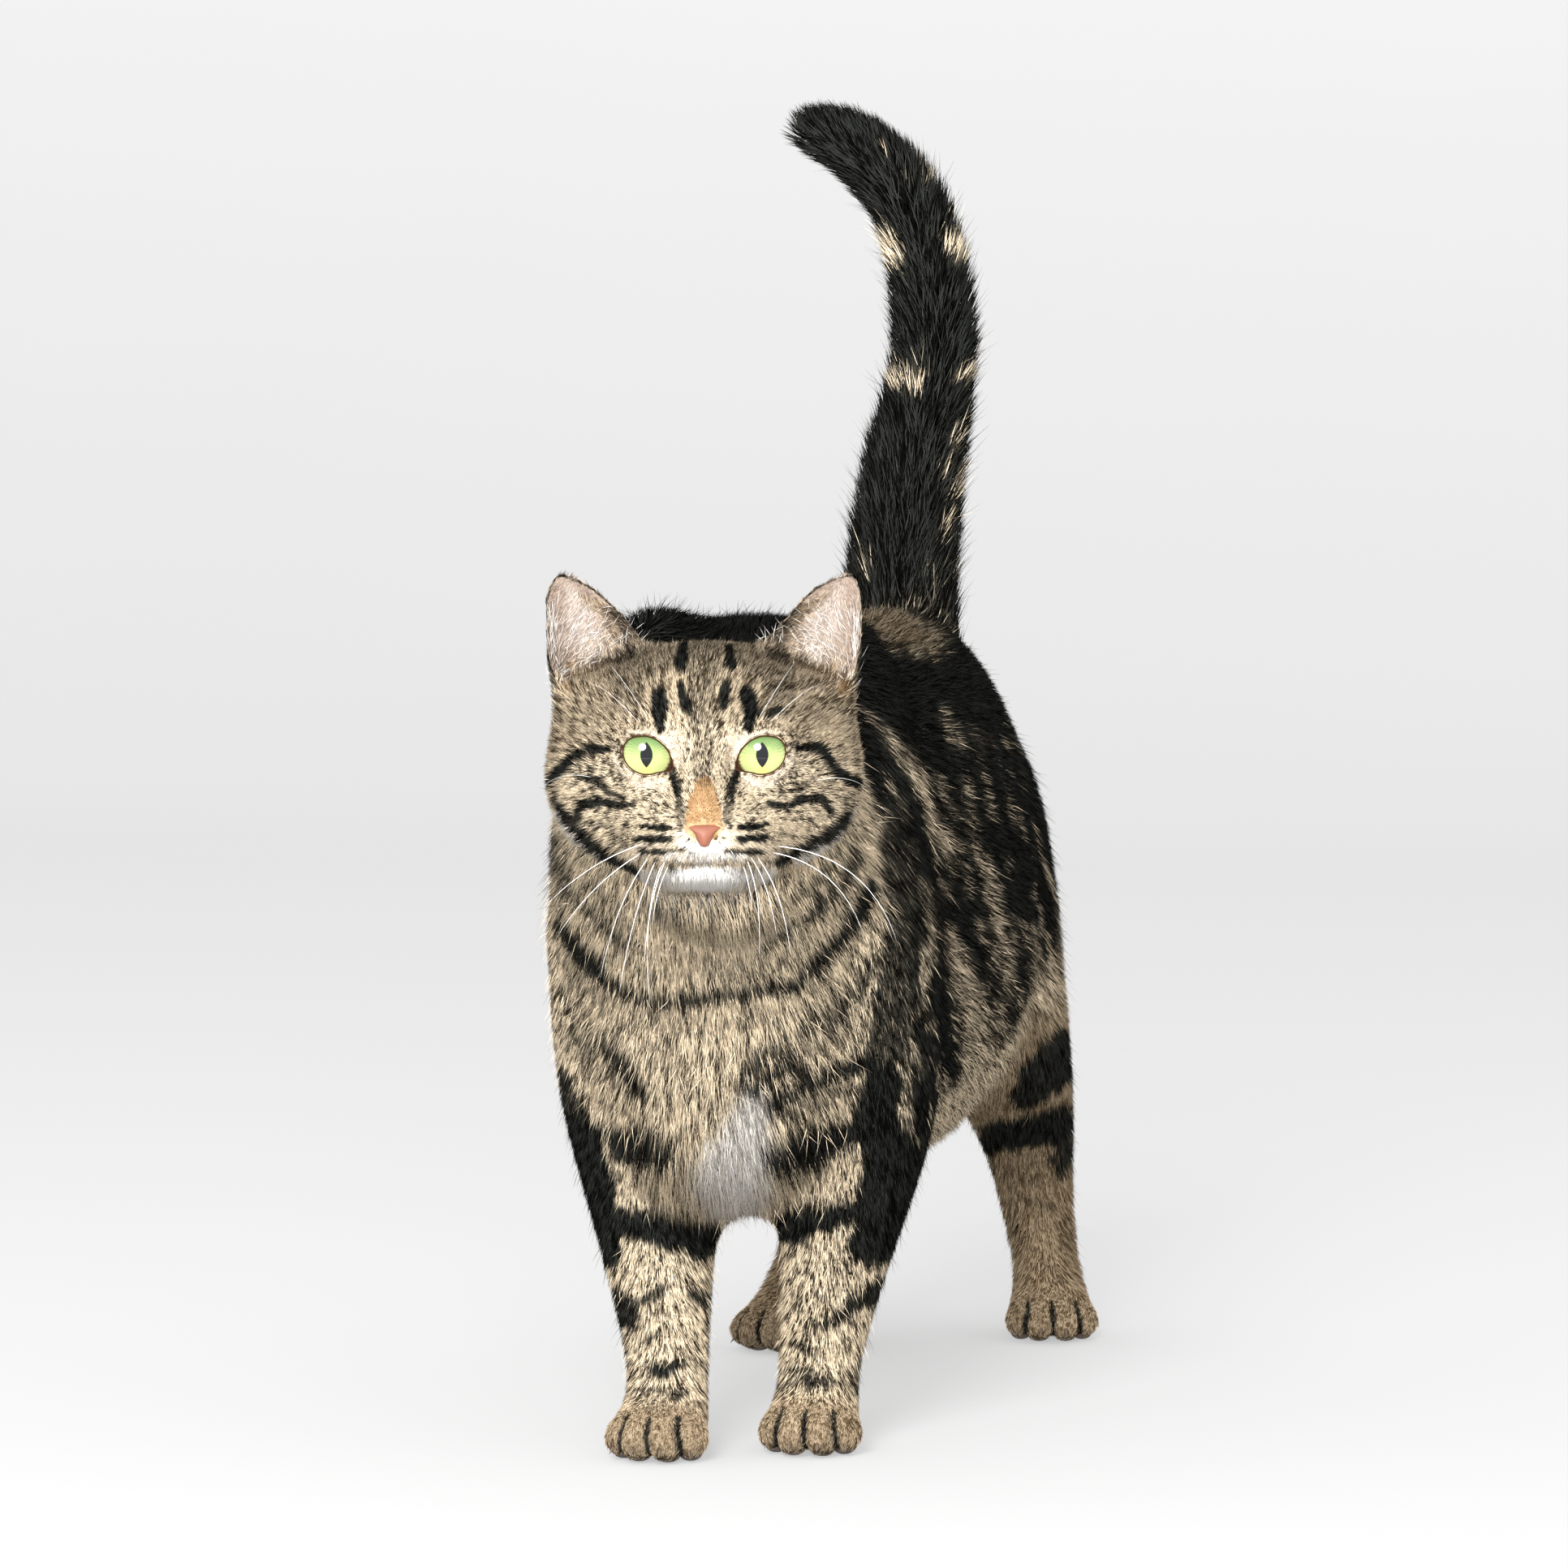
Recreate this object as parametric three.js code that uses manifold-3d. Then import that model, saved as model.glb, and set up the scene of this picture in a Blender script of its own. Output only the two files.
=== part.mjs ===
// A standing domestic cat at life size, millimetres, +Z up, facing -Y, its left side at +X.
// Every solid reaches out to the tips of the coat. The body is a set of lofted and blended
// masses, parted from each other by a thin gap, so that each named part is one closed solid.
import * as THREE from 'three';
import { mergeVertices } from 'three/addons/utils/BufferGeometryUtils.js';
import Module from 'manifold-3d';

const wasm = await Module();
wasm.setup();

// ---- driving dimensions ----------------------------------------------------------------

const PART_GAP = 0.3; // clear space between neighbouring parts
const LENGTH_GAP = 0.0015; // the same gap between two lengths, as a share of their loft
const BODY_REACH = 600; // longer than any part
const WELD = 1e-4; // points nearer than this are one point
const BISECTIONS = 30; // halvings that find where a ray leaves a mass
const LEFT = 1;
const RIGHT = -1;
const SIDES = [LEFT, RIGHT];

// Head, measured in its own frame: origin in the middle of the skull, -Y to the nose.
// A mass with x other than 0 stands on both sides.
const HEAD_PLACE = [7, -175, 233];
const HEAD_YAW = THREE.MathUtils.degToRad(16.4); // the face is turned to the cat's left
const HEAD_PITCH = THREE.MathUtils.degToRad(-3.6); // and raised a little
const HEAD_DETAIL = 7;
const HEAD_BLEND = 8; // how softly the masses of the head run into each other
const HEAD_MIDDLE = [0, -20, -8]; // the whole head can be seen from here
const HEAD_REACH = 90;
const HEAD_MASSES = bothSides([
  { at: [0, 4, 6], size: [43, 44, 33] }, // cranium
  { at: [32, 2, 10], size: [17, 20, 20] }, // temple
  { at: [0, -20, 16], size: [26, 22, 20] }, // forehead
  { at: [17, -19, 11], size: [17, 16, 11] }, // brow
  { at: [28, -2, -8], size: [24.5, 27, 25] }, // cheek
  { at: [23, -6, -20], size: [23, 24, 18] }, // ruff under the cheek
  { at: [22, -23, -7], size: [14, 12, 10] }, // cheekbone
  { at: [16, -30, -19], size: [12, 14, 12] }, // side of the face
  { at: [11, -24, -27], size: [15, 20, 13] }, // lower jaw
  { at: [0, -36, -3], size: [8, 13, 13] }, // bridge of the nose
  { at: [0, -47, -13], size: [7, 11, 9] }, // end of the nose
  { at: [8.5, -44, -25], size: [11.5, 12.5, 9] }, // whisker pad
  { at: [0, -39, -31], size: [11, 11.5, 8] }, // chin
]);
const NAPE_POINT = [0, 6, -4]; // the head is parted from the neck by a plane through this
const NAPE_NORMAL = [0, -0.79, 0.61]; // and square to this, which points into the head

const EYE_SPACING = 36.4;
const EYE_RADIUS = 10.8;
const EYE_DEPTH = -29.5;
const EYE_HEIGHT = 1.5;
const EYE_DETAIL = 2;

const NOSE_DETAIL = 2;
const NOSE_BLEND = 2;
const NOSE_MIDDLE = [0, -56, -21];
const NOSE_REACH = 14;
const NOSE_MASSES = bothSides([
  { at: [0, -56.5, -20.5], size: [5.4, 4.8, 3.6] },
  { at: [3.4, -55.5, -20], size: [4, 4, 2.8] }, // wing of the nostril
  { at: [0, -56.5, -23.5], size: [2.6, 3.6, 3.8] },
]);

// Ears: a leaf of skin and hair bent round a cone that opens forwards and outwards. Its
// levels run from the root to the tip.
const EAR_THICKNESS = 2.6;
const EAR_ARC = THREE.MathUtils.degToRad(205);
const EAR_TURN = THREE.MathUtils.degToRad(14); // outward turn of the opening
const EAR_CUP = 0.75; // depth of the cup over its half width
const EAR_COLUMNS = 8;
const EAR_ROWS = 6;
const EAR_LEVELS = [
  { at: [30, 3, 18], wide: 18 },
  { at: [31.8, 2, 28], wide: 18 },
  { at: [34.5, 2, 38], wide: 16.5 },
  { at: [38.8, 3, 48], wide: 12.5 },
  { at: [43.3, 4.5, 57.5], wide: 7.5 },
  { at: [45.5, 5.5, 62.5], wide: 2 },
];

// Lofted bodies. A station's `at` is on the widest level of its section, `wide` is a half
// width, `up` and `down` are the heights above and below that level (ahead and behind, on
// a leg), and `square` is the power of the outline: 2 is an ellipse, more is boxier.
const NECK_SIDES = 16;
const NECK_RINGS = 6;
const NECK = [
  { at: [8, -196, 222], wide: 30, up: 20, down: 20 },
  { at: [6, -180, 222], wide: 41, up: 36, down: 34 },
  { at: [4, -162, 216], wide: 49, up: 46, down: 47 },
  { at: [1, -140, 208], wide: 57, up: 57, down: 56 },
  { at: [-2, -118, 198], wide: 58, up: 74, down: 60 },
  { at: [-3, -104, 194], wide: 52, up: 80, down: 60 },
];

// From the breast to the seat.
const TRUNK_SIDES = 20;
const TRUNK_RINGS = 6;
const TRUNK = [
  { at: [-4, -156, 160], wide: 20, up: 26, down: 30 },
  { at: [-4, -147, 160], wide: 43, up: 50, down: 56 },
  { at: [-4, -125, 165], wide: 56, up: 84, down: 84, square: 2.1 },
  { at: [-3, -96, 168], wide: 61, up: 110, down: 92, square: 2.3 },
  { at: [-2, -55, 164], wide: 65, up: 112, down: 86, square: 2.2 },
  { at: [0, -10, 158], wide: 66, up: 117, down: 78, square: 2.05 },
  { at: [0, 35, 155], wide: 66, up: 121, down: 77, square: 1.95 },
  { at: [0, 75, 157], wide: 60, up: 119, down: 79, square: 1.85 },
  { at: [0, 110, 166], wide: 52, up: 108, down: 71, square: 1.8 },
  { at: [0, 140, 187], wide: 42, up: 79, down: 52, square: 1.85 },
  { at: [0, 158, 208], wide: 28, up: 44, down: 38 },
  { at: [0, 165, 216], wide: 10, up: 16, down: 14 },
];
const CHEST_END = 0.34; // where one part of the trunk ends, as a share of its length
const BELLY_END = 0.62;

// From the seat up to the tip, which curls over to the cat's right.
const TAIL_SIDES = 10;
const TAIL_RINGS = 5;
const TAIL = [
  { at: [-6, 138, 238], wide: 23, up: 22 },
  { at: [-11, 150, 256], wide: 23.5, up: 22 },
  { at: [-14, 158, 280], wide: 22.5, up: 21 },
  { at: [-13, 163, 305], wide: 21.5, up: 20 },
  { at: [-10, 166, 330], wide: 20, up: 19 },
  { at: [-5, 168, 355], wide: 17.5, up: 17 },
  { at: [-4, 168, 380], wide: 17, up: 16.5 },
  { at: [-7, 167, 403], wide: 16.5, up: 16 },
  { at: [-14, 164, 424], wide: 16, up: 15.5 },
  { at: [-28, 160, 440], wide: 15, up: 15 },
  { at: [-44, 156, 448], wide: 13, up: 13.5 },
  { at: [-57, 153, 446], wide: 7, up: 8 },
];
const TAIL_PARTS = ['tail_root', 'tail_middle', 'tail_end', 'tail_tip']; // equal lengths

// Legs, from the shoulder or hip down to the foot, given for the left side of the body in
// the leg's own plane; each leg adds its own stride and spread.
const LEG_SIDES = 12;
const UPPER_RINGS = 5;
const LOWER_RINGS = 7;
const PAW_TOP = 19; // a leg stands on its paw at this height
const FORELEG = {
  upper: 'shoulder',
  lower: 'forearm',
  joint: 0.4, // where the upper part ends, as a share of the leg's length
  stations: [
    { at: [28, -8, 282], wide: 5, up: 8, down: 8 },
    { at: [30, -7, 278], wide: 13, up: 20, down: 20 },
    { at: [33, -5, 258], wide: 20, up: 31, down: 31 },
    { at: [40, -4, 220], wide: 22, up: 33, down: 33 },
    { at: [44, -8, 175], wide: 23, up: 34, down: 36 },
    { at: [44, 0, 138], wide: 23, up: 32, down: 42 },
    { at: [41, 6, 108], wide: 24, up: 30, down: 42 },
    { at: [35, 6, 82], wide: 22.5, up: 25, down: 33 },
    { at: [30, 3, 55], wide: 19.5, up: 20, down: 23 },
    { at: [27, 0, 33], wide: 16.5, up: 16, down: 17.5 },
    { at: [26, -3, PAW_TOP], wide: 15, up: 16, down: 16.5 },
  ],
};
const HINDLEG = {
  upper: 'thigh',
  lower: 'shank',
  joint: 0.44,
  stations: [
    { at: [30, -14, 234], wide: 8, up: 14, down: 14 },
    { at: [33, -12, 218], wide: 17, up: 30, down: 28 },
    { at: [35, -12, 192], wide: 20, up: 42, down: 38 },
    { at: [36, -18, 160], wide: 21.5, up: 52, down: 46 },
    { at: [36, -24, 130], wide: 22.5, up: 48, down: 44 },
    { at: [34, -10, 104], wide: 23, up: 44, down: 38 },
    { at: [31, 14, 82], wide: 21, up: 36, down: 26 },
    { at: [31, 26, 62], wide: 17.5, up: 22, down: 16 },
    { at: [33, 22, 40], wide: 15.5, up: 17, down: 15 },
    { at: [39, 10, PAW_TOP], wide: 14.5, up: 17, down: 15 },
  ],
};

// Each leg: where its plane stands along the body, how far the foot has stepped forwards or
// back (stride) and outwards (drift), how far the elbow or hock stands out (bow), and which
// way the toes point, in degrees to the cat's left.
const STRIDE_TOP = 200; // the height above which a leg doesn't swing
const LEGS = {
  foreleg_left: { ...FORELEG, side: LEFT, plane: -98, stride: -4, drift: 0, bow: -2, turn: 6 },
  foreleg_right: { ...FORELEG, side: RIGHT, plane: -98, stride: -29, drift: -7, bow: 1, turn: 2 },
  hindleg_left: { ...HINDLEG, side: LEFT, plane: 112, stride: 34, drift: 7, bow: 1, turn: 16 },
  hindleg_right: { ...HINDLEG, side: RIGHT, plane: 112, stride: -18, drift: 3, bow: 0, turn: -14 },
};

// Paws, each in its own frame: origin on the floor under the middle of the foot.
const TOE_REACH = 6; // how far the middle of the paw stands ahead of the leg
const PAW_DETAIL = 4;
const PAW_BLEND = 3.5;
const PAW_SCALE = 0.94;
const PAW_MIDDLE = [0, -2, 8];
const PAW_REACH = 60;
const PAW_MASSES = bothSides([
  { at: [0, 4, 13], size: [16, 20.5, 14] }, // wrist or ankle
  { at: [0, 5, 19], size: [14.5, 16, 9] },
  { at: [5.6, -15, 8.5], size: [6.6, 10.5, 9.5] }, // middle toe
  { at: [14, -8.5, 7.5], size: [6.2, 10, 8.5] }, // outer toe
]);

const COAT = { color: 0x5b5145, roughness: 0.9, metalness: 0 };
const DARK_COAT = { color: 0x1d1c1a, roughness: 0.9, metalness: 0 };
const EAR_SKIN = { color: 0xc9ab9c, roughness: 0.8, metalness: 0 };
const NOSE_SKIN = { color: 0xb8665a, roughness: 0.6, metalness: 0 };
const EYE = { color: 0xa6c85a, roughness: 0.1, metalness: 0 };

// ---- solids ----------------------------------------------------------------------------

function vec(x = 0, y = 0, z = 0) {
  return new THREE.Vector3(x, y, z);
}

function bothSides(masses) {
  return masses.flatMap((mass) => {
    const [x, y, z] = mass.at;
    return x === 0 ? [mass] : [mass, { ...mass, at: [-x, y, z] }];
  });
}

// A three.js geometry with its points moved by `place`, as a closed solid.
function solidFrom(geometry, place) {
  const shell = geometry.index ? geometry.toNonIndexed() : geometry.clone();
  for (const name of Object.keys(shell.attributes)) {
    if (name !== 'position') shell.deleteAttribute(name);
  }
  const merged = mergeVertices(shell, WELD);
  const points = merged.attributes.position;
  for (let i = 0; i < points.count; i++) {
    const moved = place(vec().fromBufferAttribute(points, i));
    points.setXYZ(i, moved.x, moved.y, moved.z);
  }
  return new wasm.Manifold(new wasm.Mesh({
    numProp: 3,
    vertProperties: new Float32Array(points.array),
    triVerts: new Uint32Array(merged.index.array),
  }));
}

// A geometry seen in a mirror across x, with its faces still pointing out.
function mirrored(geometry) {
  const copy = geometry.clone().scale(-1, 1, 1);
  const order = copy.index.array;
  for (let i = 0; i < order.length; i += 3) {
    [order[i], order[i + 1]] = [order[i + 1], order[i]];
  }
  return copy;
}

const without = (solid, cutters) => cutters.reduce((rest, cutter) => rest.subtract(cutter), solid);

// A cut can leave loose flakes where two surfaces nearly touch; the part is the largest body.
function largestOf(solid) {
  return solid.decompose().reduce((most, body) => (body.volume() > most.volume() ? body : most));
}

function geometryFrom(solid) {
  const mesh = solid.getMesh();
  const geometry = new THREE.BufferGeometry();
  geometry.setAttribute('position', new THREE.BufferAttribute(mesh.vertProperties, 3));
  geometry.setIndex(new THREE.BufferAttribute(mesh.triVerts, 1));
  geometry.computeVertexNormals();
  return geometry;
}

// All that lies beyond a plane, as far as the body reaches.
function beyond(point, normal) {
  const turn = new THREE.Quaternion().setFromUnitVectors(vec(0, 0, 1), normal);
  return solidFrom(new THREE.BoxGeometry(1, 1, 1), (p) => p
    .add(vec(0, 0, 0.5)).multiplyScalar(BODY_REACH).applyQuaternion(turn).add(point));
}

function ball(at, radius, detail) {
  const round = new THREE.IcosahedronGeometry(1, detail);
  return solidFrom(round, (p) => p.multiplyScalar(radius).add(vec(...at)));
}

// A smooth curve through one value, or three, of each station.
function runOf(stations, pick) {
  return new THREE.CatmullRomCurve3(stations.map((s) => vec(...pick(s))), false, 'catmullrom');
}

// A body lofted through its stations. `along` says which way its rings look: 'y' for upright
// rings across the body, 'z' for level rings round a leg, or 'path' for rings square to the
// line of centres. `from` and `to` take a length of the loft, and `grow` swells it all round.
function loft(stations, { along, sides, rings, from = 0, to = 1, grow = 0 }) {
  const centres = runOf(stations, (s) => s.at);
  const sizes = runOf(stations, (s) => [s.wide, s.up, s.down ?? s.up]);
  const powers = runOf(stations, (s) => [s.square ?? 2]);
  const place = (p) => {
    const t = THREE.MathUtils.lerp(from, to, 0.5 - p.y);
    const heading = centres.getTangent(t);
    const centre = centres.getPoint(t).addScaledVector(heading, -2 * p.y * grow);
    const size = sizes.getPoint(t);
    const power = powers.getPoint(t).x;
    const bulk = Math.abs(p.x) ** power + Math.abs(p.z) ** power;
    const swell = bulk > 0 ? Math.hypot(p.x, p.z) * bulk ** (-1 / power) : 1;
    const across = vec(1, 0, 0);
    const upward = vec(0, 0, 1);
    if (along === 'z') upward.set(0, -1, 0);
    if (along === 'path') {
      upward.set(0, -1, 0).addScaledVector(heading, heading.y).normalize();
      across.crossVectors(heading, upward).negate();
    }
    const height = p.z > 0 ? size.y : size.z;
    return centre
      .addScaledVector(across, p.x * swell * (size.x + grow))
      .addScaledVector(upward, p.z * swell * (height + grow));
  };
  const round = new THREE.CylinderGeometry(1, 1, 1, sides, rings);
  const solid = solidFrom(round, place);
  // Some lofts run against their cylinder, which turns them inside out.
  return solid.volume() > 0 ? solid : solidFrom(mirrored(round), (p) => place(p.setX(-p.x)));
}

// Distance, near the surface, from an ellipsoid { at, size }.
function distanceTo(mass, p) {
  const q = p.clone().sub(vec(...mass.at));
  const near = vec(q.x / mass.size[0], q.y / mass.size[1], q.z / mass.size[2]);
  const steep = vec(near.x / mass.size[0], near.y / mass.size[1], near.z / mass.size[2]);
  return near.length() * (near.length() - 1) / Math.max(steep.length(), Number.EPSILON);
}

// Smooth union of masses, negative inside.
function blendOf(masses, softness) {
  return (p) => masses.reduce((least, mass) => {
    const d = distanceTo(mass, p);
    const mix = Math.max(softness - Math.abs(least - d), 0) / softness;
    return Math.min(least, d) - mix * mix * softness / 4;
  }, BODY_REACH);
}

// A body seen whole from its middle: a ball of rays, each run out to where `field` is zero.
function blob(field, { middle, reach, detail, grow = 0 }) {
  const start = vec(...middle);
  return solidFrom(new THREE.IcosahedronGeometry(1, detail), (direction) => {
    let inside = 0;
    let outside = reach;
    for (let step = 0; step < BISECTIONS; step++) {
      const half = (inside + outside) / 2;
      if (field(start.clone().addScaledVector(direction, half)) < grow) inside = half;
      else outside = half;
    }
    return start.clone().addScaledVector(direction, outside);
  });
}

// ---- scene -----------------------------------------------------------------------------

const sideName = (side) => (side === LEFT ? 'left' : 'right');

function add(group, name, solid, look) {
  const mesh = new THREE.Mesh(geometryFrom(largestOf(solid)), new THREE.MeshStandardMaterial(look));
  mesh.name = name;
  group.add(mesh);
}

const cat = new THREE.Group();

// ---- head ------------------------------------------------------------------------------

const headGroup = new THREE.Group();
headGroup.position.set(...HEAD_PLACE);
headGroup.rotation.set(HEAD_PITCH, 0, HEAD_YAW, 'ZYX');
headGroup.updateMatrix();
cat.add(headGroup);

const headField = blendOf(HEAD_MASSES, HEAD_BLEND);
const headBlob = (grow = 0) => blob(headField, {
  middle: HEAD_MIDDLE, reach: HEAD_REACH, detail: HEAD_DETAIL, grow,
});
const eyeball = (side, grow = 0) => ball(
  [side * EYE_SPACING / 2, EYE_DEPTH, EYE_HEIGHT], EYE_RADIUS + grow, EYE_DETAIL,
);
const noseField = blendOf(NOSE_MASSES, NOSE_BLEND);
const noseTip = (grow = 0) => blob(noseField, {
  middle: NOSE_MIDDLE, reach: NOSE_REACH, detail: NOSE_DETAIL, grow,
});

// The leaf's x runs from the inner edge of the ear to the outer one, its y through the
// thickness and its z from the root to the tip.
function ear(side) {
  const centres = runOf(EAR_LEVELS, (s) => s.at);
  const widths = runOf(EAR_LEVELS, (s) => [s.wide]);
  const leaf = new THREE.BoxGeometry(1, 1, 1, EAR_COLUMNS, 1, EAR_ROWS);
  return solidFrom(side === RIGHT ? mirrored(leaf) : leaf, (p) => {
    const level = p.z + 0.5;
    const angle = side * p.x * EAR_ARC + EAR_TURN;
    const radius = widths.getPoint(level).x + p.y * EAR_THICKNESS;
    const centre = centres.getPoint(level);
    return vec(
      side * (centre.x + radius * Math.sin(angle)),
      centre.y + radius * Math.cos(angle) * EAR_CUP,
      centre.z,
    );
  });
}

const headOut = headBlob(PART_GAP);
const intoHead = vec(...NAPE_NORMAL).normalize();
const intoNeck = intoHead.clone().negate();
const headCutters = [
  beyond(vec(...NAPE_POINT), intoNeck),
  noseTip(PART_GAP),
  ...SIDES.map((side) => eyeball(side, PART_GAP)),
];
add(headGroup, 'head', without(headBlob(), headCutters), COAT);
add(headGroup, 'nose', noseTip(), NOSE_SKIN);
for (const side of SIDES) {
  add(headGroup, `eye_${sideName(side)}`, eyeball(side), EYE);
  add(headGroup, `ear_${sideName(side)}`, ear(side).subtract(headOut), EAR_SKIN);
}

// ---- legs ------------------------------------------------------------------------------

function steppedStations({ stations, side, plane, stride, drift, bow }) {
  return stations.map(({ at: [x, y, z], ...size }) => {
    const height = Math.min(z / STRIDE_TOP, 1);
    const out = x + drift * (1 - height) + bow * Math.sin(height * Math.PI);
    return { at: [side * out, plane + y + stride * (1 - height), z], ...size };
  });
}

const pawBlend = blendOf(PAW_MASSES, PAW_BLEND);
const pawField = (p) => Math.max(pawBlend(p), -p.z); // flat where it meets the floor

function addPaw(name, { stations, side, plane, stride, drift, turn }) {
  const [x, y] = stations.at(-1).at;
  const group = new THREE.Group();
  group.position.set(side * (x + drift), plane + stride + y - TOE_REACH, 0);
  group.rotation.z = THREE.MathUtils.degToRad(turn);
  cat.add(group);
  const foot = blob(pawField, { middle: PAW_MIDDLE, reach: PAW_REACH, detail: PAW_DETAIL })
    .scale(PAW_SCALE)
    .subtract(beyond(vec(0, 0, PAW_TOP - PART_GAP), vec(0, 0, 1)));
  add(group, name, foot, COAT);
}

// The two lengths of a leg, and the space that they take from the body.
function addLeg(name, leg) {
  const stations = steppedStations(leg);
  const lengths = [
    { part: leg.upper, rings: UPPER_RINGS, from: 0, to: leg.joint },
    { part: leg.lower, rings: LOWER_RINGS, from: leg.joint, to: 1 },
  ];
  return lengths.map(({ part, rings, from, to }) => {
    const shape = { along: 'z', sides: LEG_SIDES, rings, to };
    const start = from === 0 ? 0 : from + LENGTH_GAP;
    add(cat, `${name}_${part}`, loft(stations, { ...shape, from: start }), COAT);
    return loft(stations, { ...shape, from, grow: PART_GAP });
  });
}

const legSpaces = {};
for (const [name, leg] of Object.entries(LEGS)) {
  legSpaces[name] = addLeg(name, leg);
  addPaw(`${name}_paw`, leg);
}
const foreSpaces = [...legSpaces.foreleg_left, ...legSpaces.foreleg_right];
const hindSpaces = [...legSpaces.hindleg_left, ...legSpaces.hindleg_right];

// ---- neck, trunk and tail --------------------------------------------------------------

const neckLoft = (grow = 0) => loft(NECK, {
  along: 'path', sides: NECK_SIDES, rings: NECK_RINGS, grow,
});
const headSide = beyond(
  vec(...NAPE_POINT).addScaledVector(intoNeck, PART_GAP).applyMatrix4(headGroup.matrix),
  intoHead.clone().transformDirection(headGroup.matrix),
);
add(cat, 'neck', without(neckLoft(), [headSide, ...foreSpaces]), COAT);

const tailLoft = (from, to, grow = 0) => loft(TAIL, {
  along: 'path', sides: TAIL_SIDES, rings: TAIL_RINGS, from, to, grow,
});
const tailShare = 1 / TAIL_PARTS.length;
TAIL_PARTS.forEach((name, i) => {
  const from = i === 0 ? 0 : i * tailShare + LENGTH_GAP;
  add(cat, name, tailLoft(from, (i + 1) * tailShare), DARK_COAT);
});

const trunkParts = [
  { name: 'chest', from: 0, to: CHEST_END, cutters: [neckLoft(PART_GAP), ...foreSpaces] },
  {
    name: 'belly',
    from: CHEST_END + LENGTH_GAP,
    to: BELLY_END,
    cutters: [...foreSpaces, ...hindSpaces],
  },
  {
    name: 'rump',
    from: BELLY_END + LENGTH_GAP,
    to: 1,
    cutters: [tailLoft(0, tailShare, PART_GAP), ...hindSpaces],
  },
];
for (const { name, from, to, cutters } of trunkParts) {
  const length = loft(TRUNK, { along: 'y', sides: TRUNK_SIDES, rings: TRUNK_RINGS, from, to });
  add(cat, name, without(length, cutters), COAT);
}

// The cat stands on z = 0 with its bounding box centred on the origin.
cat.updateMatrixWorld(true);
const box = new THREE.Box3().setFromObject(cat, true);
const centre = box.getCenter(vec());
cat.position.set(-centre.x, -centre.y, -box.min.z);

export default cat;
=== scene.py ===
"""A standing tabby cat, built round its solid model: skin, coat, eyes, nose, whiskers and claws."""

import math

import bmesh
import bpy
import numpy as np
from mathutils import Matrix, Vector
from mathutils.bvhtree import BVHTree


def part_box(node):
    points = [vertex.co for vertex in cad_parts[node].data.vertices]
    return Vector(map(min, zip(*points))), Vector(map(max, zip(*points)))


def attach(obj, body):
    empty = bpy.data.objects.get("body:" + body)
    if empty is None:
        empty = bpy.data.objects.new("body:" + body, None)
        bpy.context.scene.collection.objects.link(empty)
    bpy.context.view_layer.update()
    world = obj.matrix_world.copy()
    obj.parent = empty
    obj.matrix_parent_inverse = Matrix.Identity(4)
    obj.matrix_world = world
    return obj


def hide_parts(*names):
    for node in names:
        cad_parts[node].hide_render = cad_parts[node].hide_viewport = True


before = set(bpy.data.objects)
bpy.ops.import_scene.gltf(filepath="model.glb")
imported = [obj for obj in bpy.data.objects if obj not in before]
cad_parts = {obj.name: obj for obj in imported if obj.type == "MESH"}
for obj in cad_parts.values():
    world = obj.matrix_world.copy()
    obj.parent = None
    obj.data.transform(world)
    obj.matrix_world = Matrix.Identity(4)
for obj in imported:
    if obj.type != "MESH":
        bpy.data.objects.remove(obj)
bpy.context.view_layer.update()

bl_info = {
    "name": "Standing tabby cat",
    "version": (1, 0, 0),
    "blender": (4, 5, 0),
    "location": "View3D > Sidebar > Cat",
    "description": "Skin, coat, eyes, nose, whiskers and claws of a standing tabby cat",
    "category": "Object",
}

# ---- the cat's measures, in millimetres unless a line says otherwise -----------------------

MM = 0.001
WELD = 1e-5
SIDES = {"left": 1, "right": -1}
LEG_PARTS = {"foreleg": ("shoulder", "forearm", "paw"), "hindleg": ("thigh", "shank", "paw")}
TAIL_PARTS = ("tail_root", "tail_middle", "tail_end", "tail_tip")

# Where each paw stands, as (x, y) of its middle and the turn of its toes in degrees.
PAWS = {
    "foreleg_left": (26.1, -86.0, 6),
    "foreleg_right": (-18.9, -111.0, 2),
    "hindleg_left": (46.1, 175.0, 16),
    "hindleg_right": (-41.9, 123.0, -14),
}
PAW_SCALE = 0.94
FLESH = ["head", "neck", "chest", "belly", "rump", *TAIL_PARTS]
FLESH += [f"{leg}_{part}" for leg in PAWS for part in LEG_PARTS[leg.split("_")[0]]]
FLESH += [f"ear_{side}" for side in SIDES]
EYES = [f"eye_{side}" for side in SIDES]

EYE_DEPTH = 29.5  # how far the middle of the eye lies ahead of the middle of the skull
EYE_HEIGHT = 1.5
EYE_OUT = 18.2
EYE_RADIUS = 10.8
LID = 0.8  # thickness of a lid at its edge
RIM_PROUD = 0.35  # how far the dark rim of the lids stands off the eye
RIM_RADIUS = 0.5
LID_BEND = 0.86  # share of the eye's radius beyond which the lids run straight back
HEAD_RAISED = 3.6  # degrees
# The edge of the lids round the middle of the eye, as (degrees, radius): 0 is outwards and 90
# is up, and the point at 211 is the inner corner.
LID_EDGE = (
    (0, 7.6), (20, 8.0), (40, 7.8), (70, 6.5), (110, 5.9), (140, 6.1), (165, 6.9), (185, 7.9),
    (200, 9.0), (211, 10.0), (221, 8.0), (240, 6.7), (270, 6.4), (300, 6.5), (325, 6.9),
    (345, 7.3),
)
NOSE_TIP = (0, -58, -20)
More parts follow.
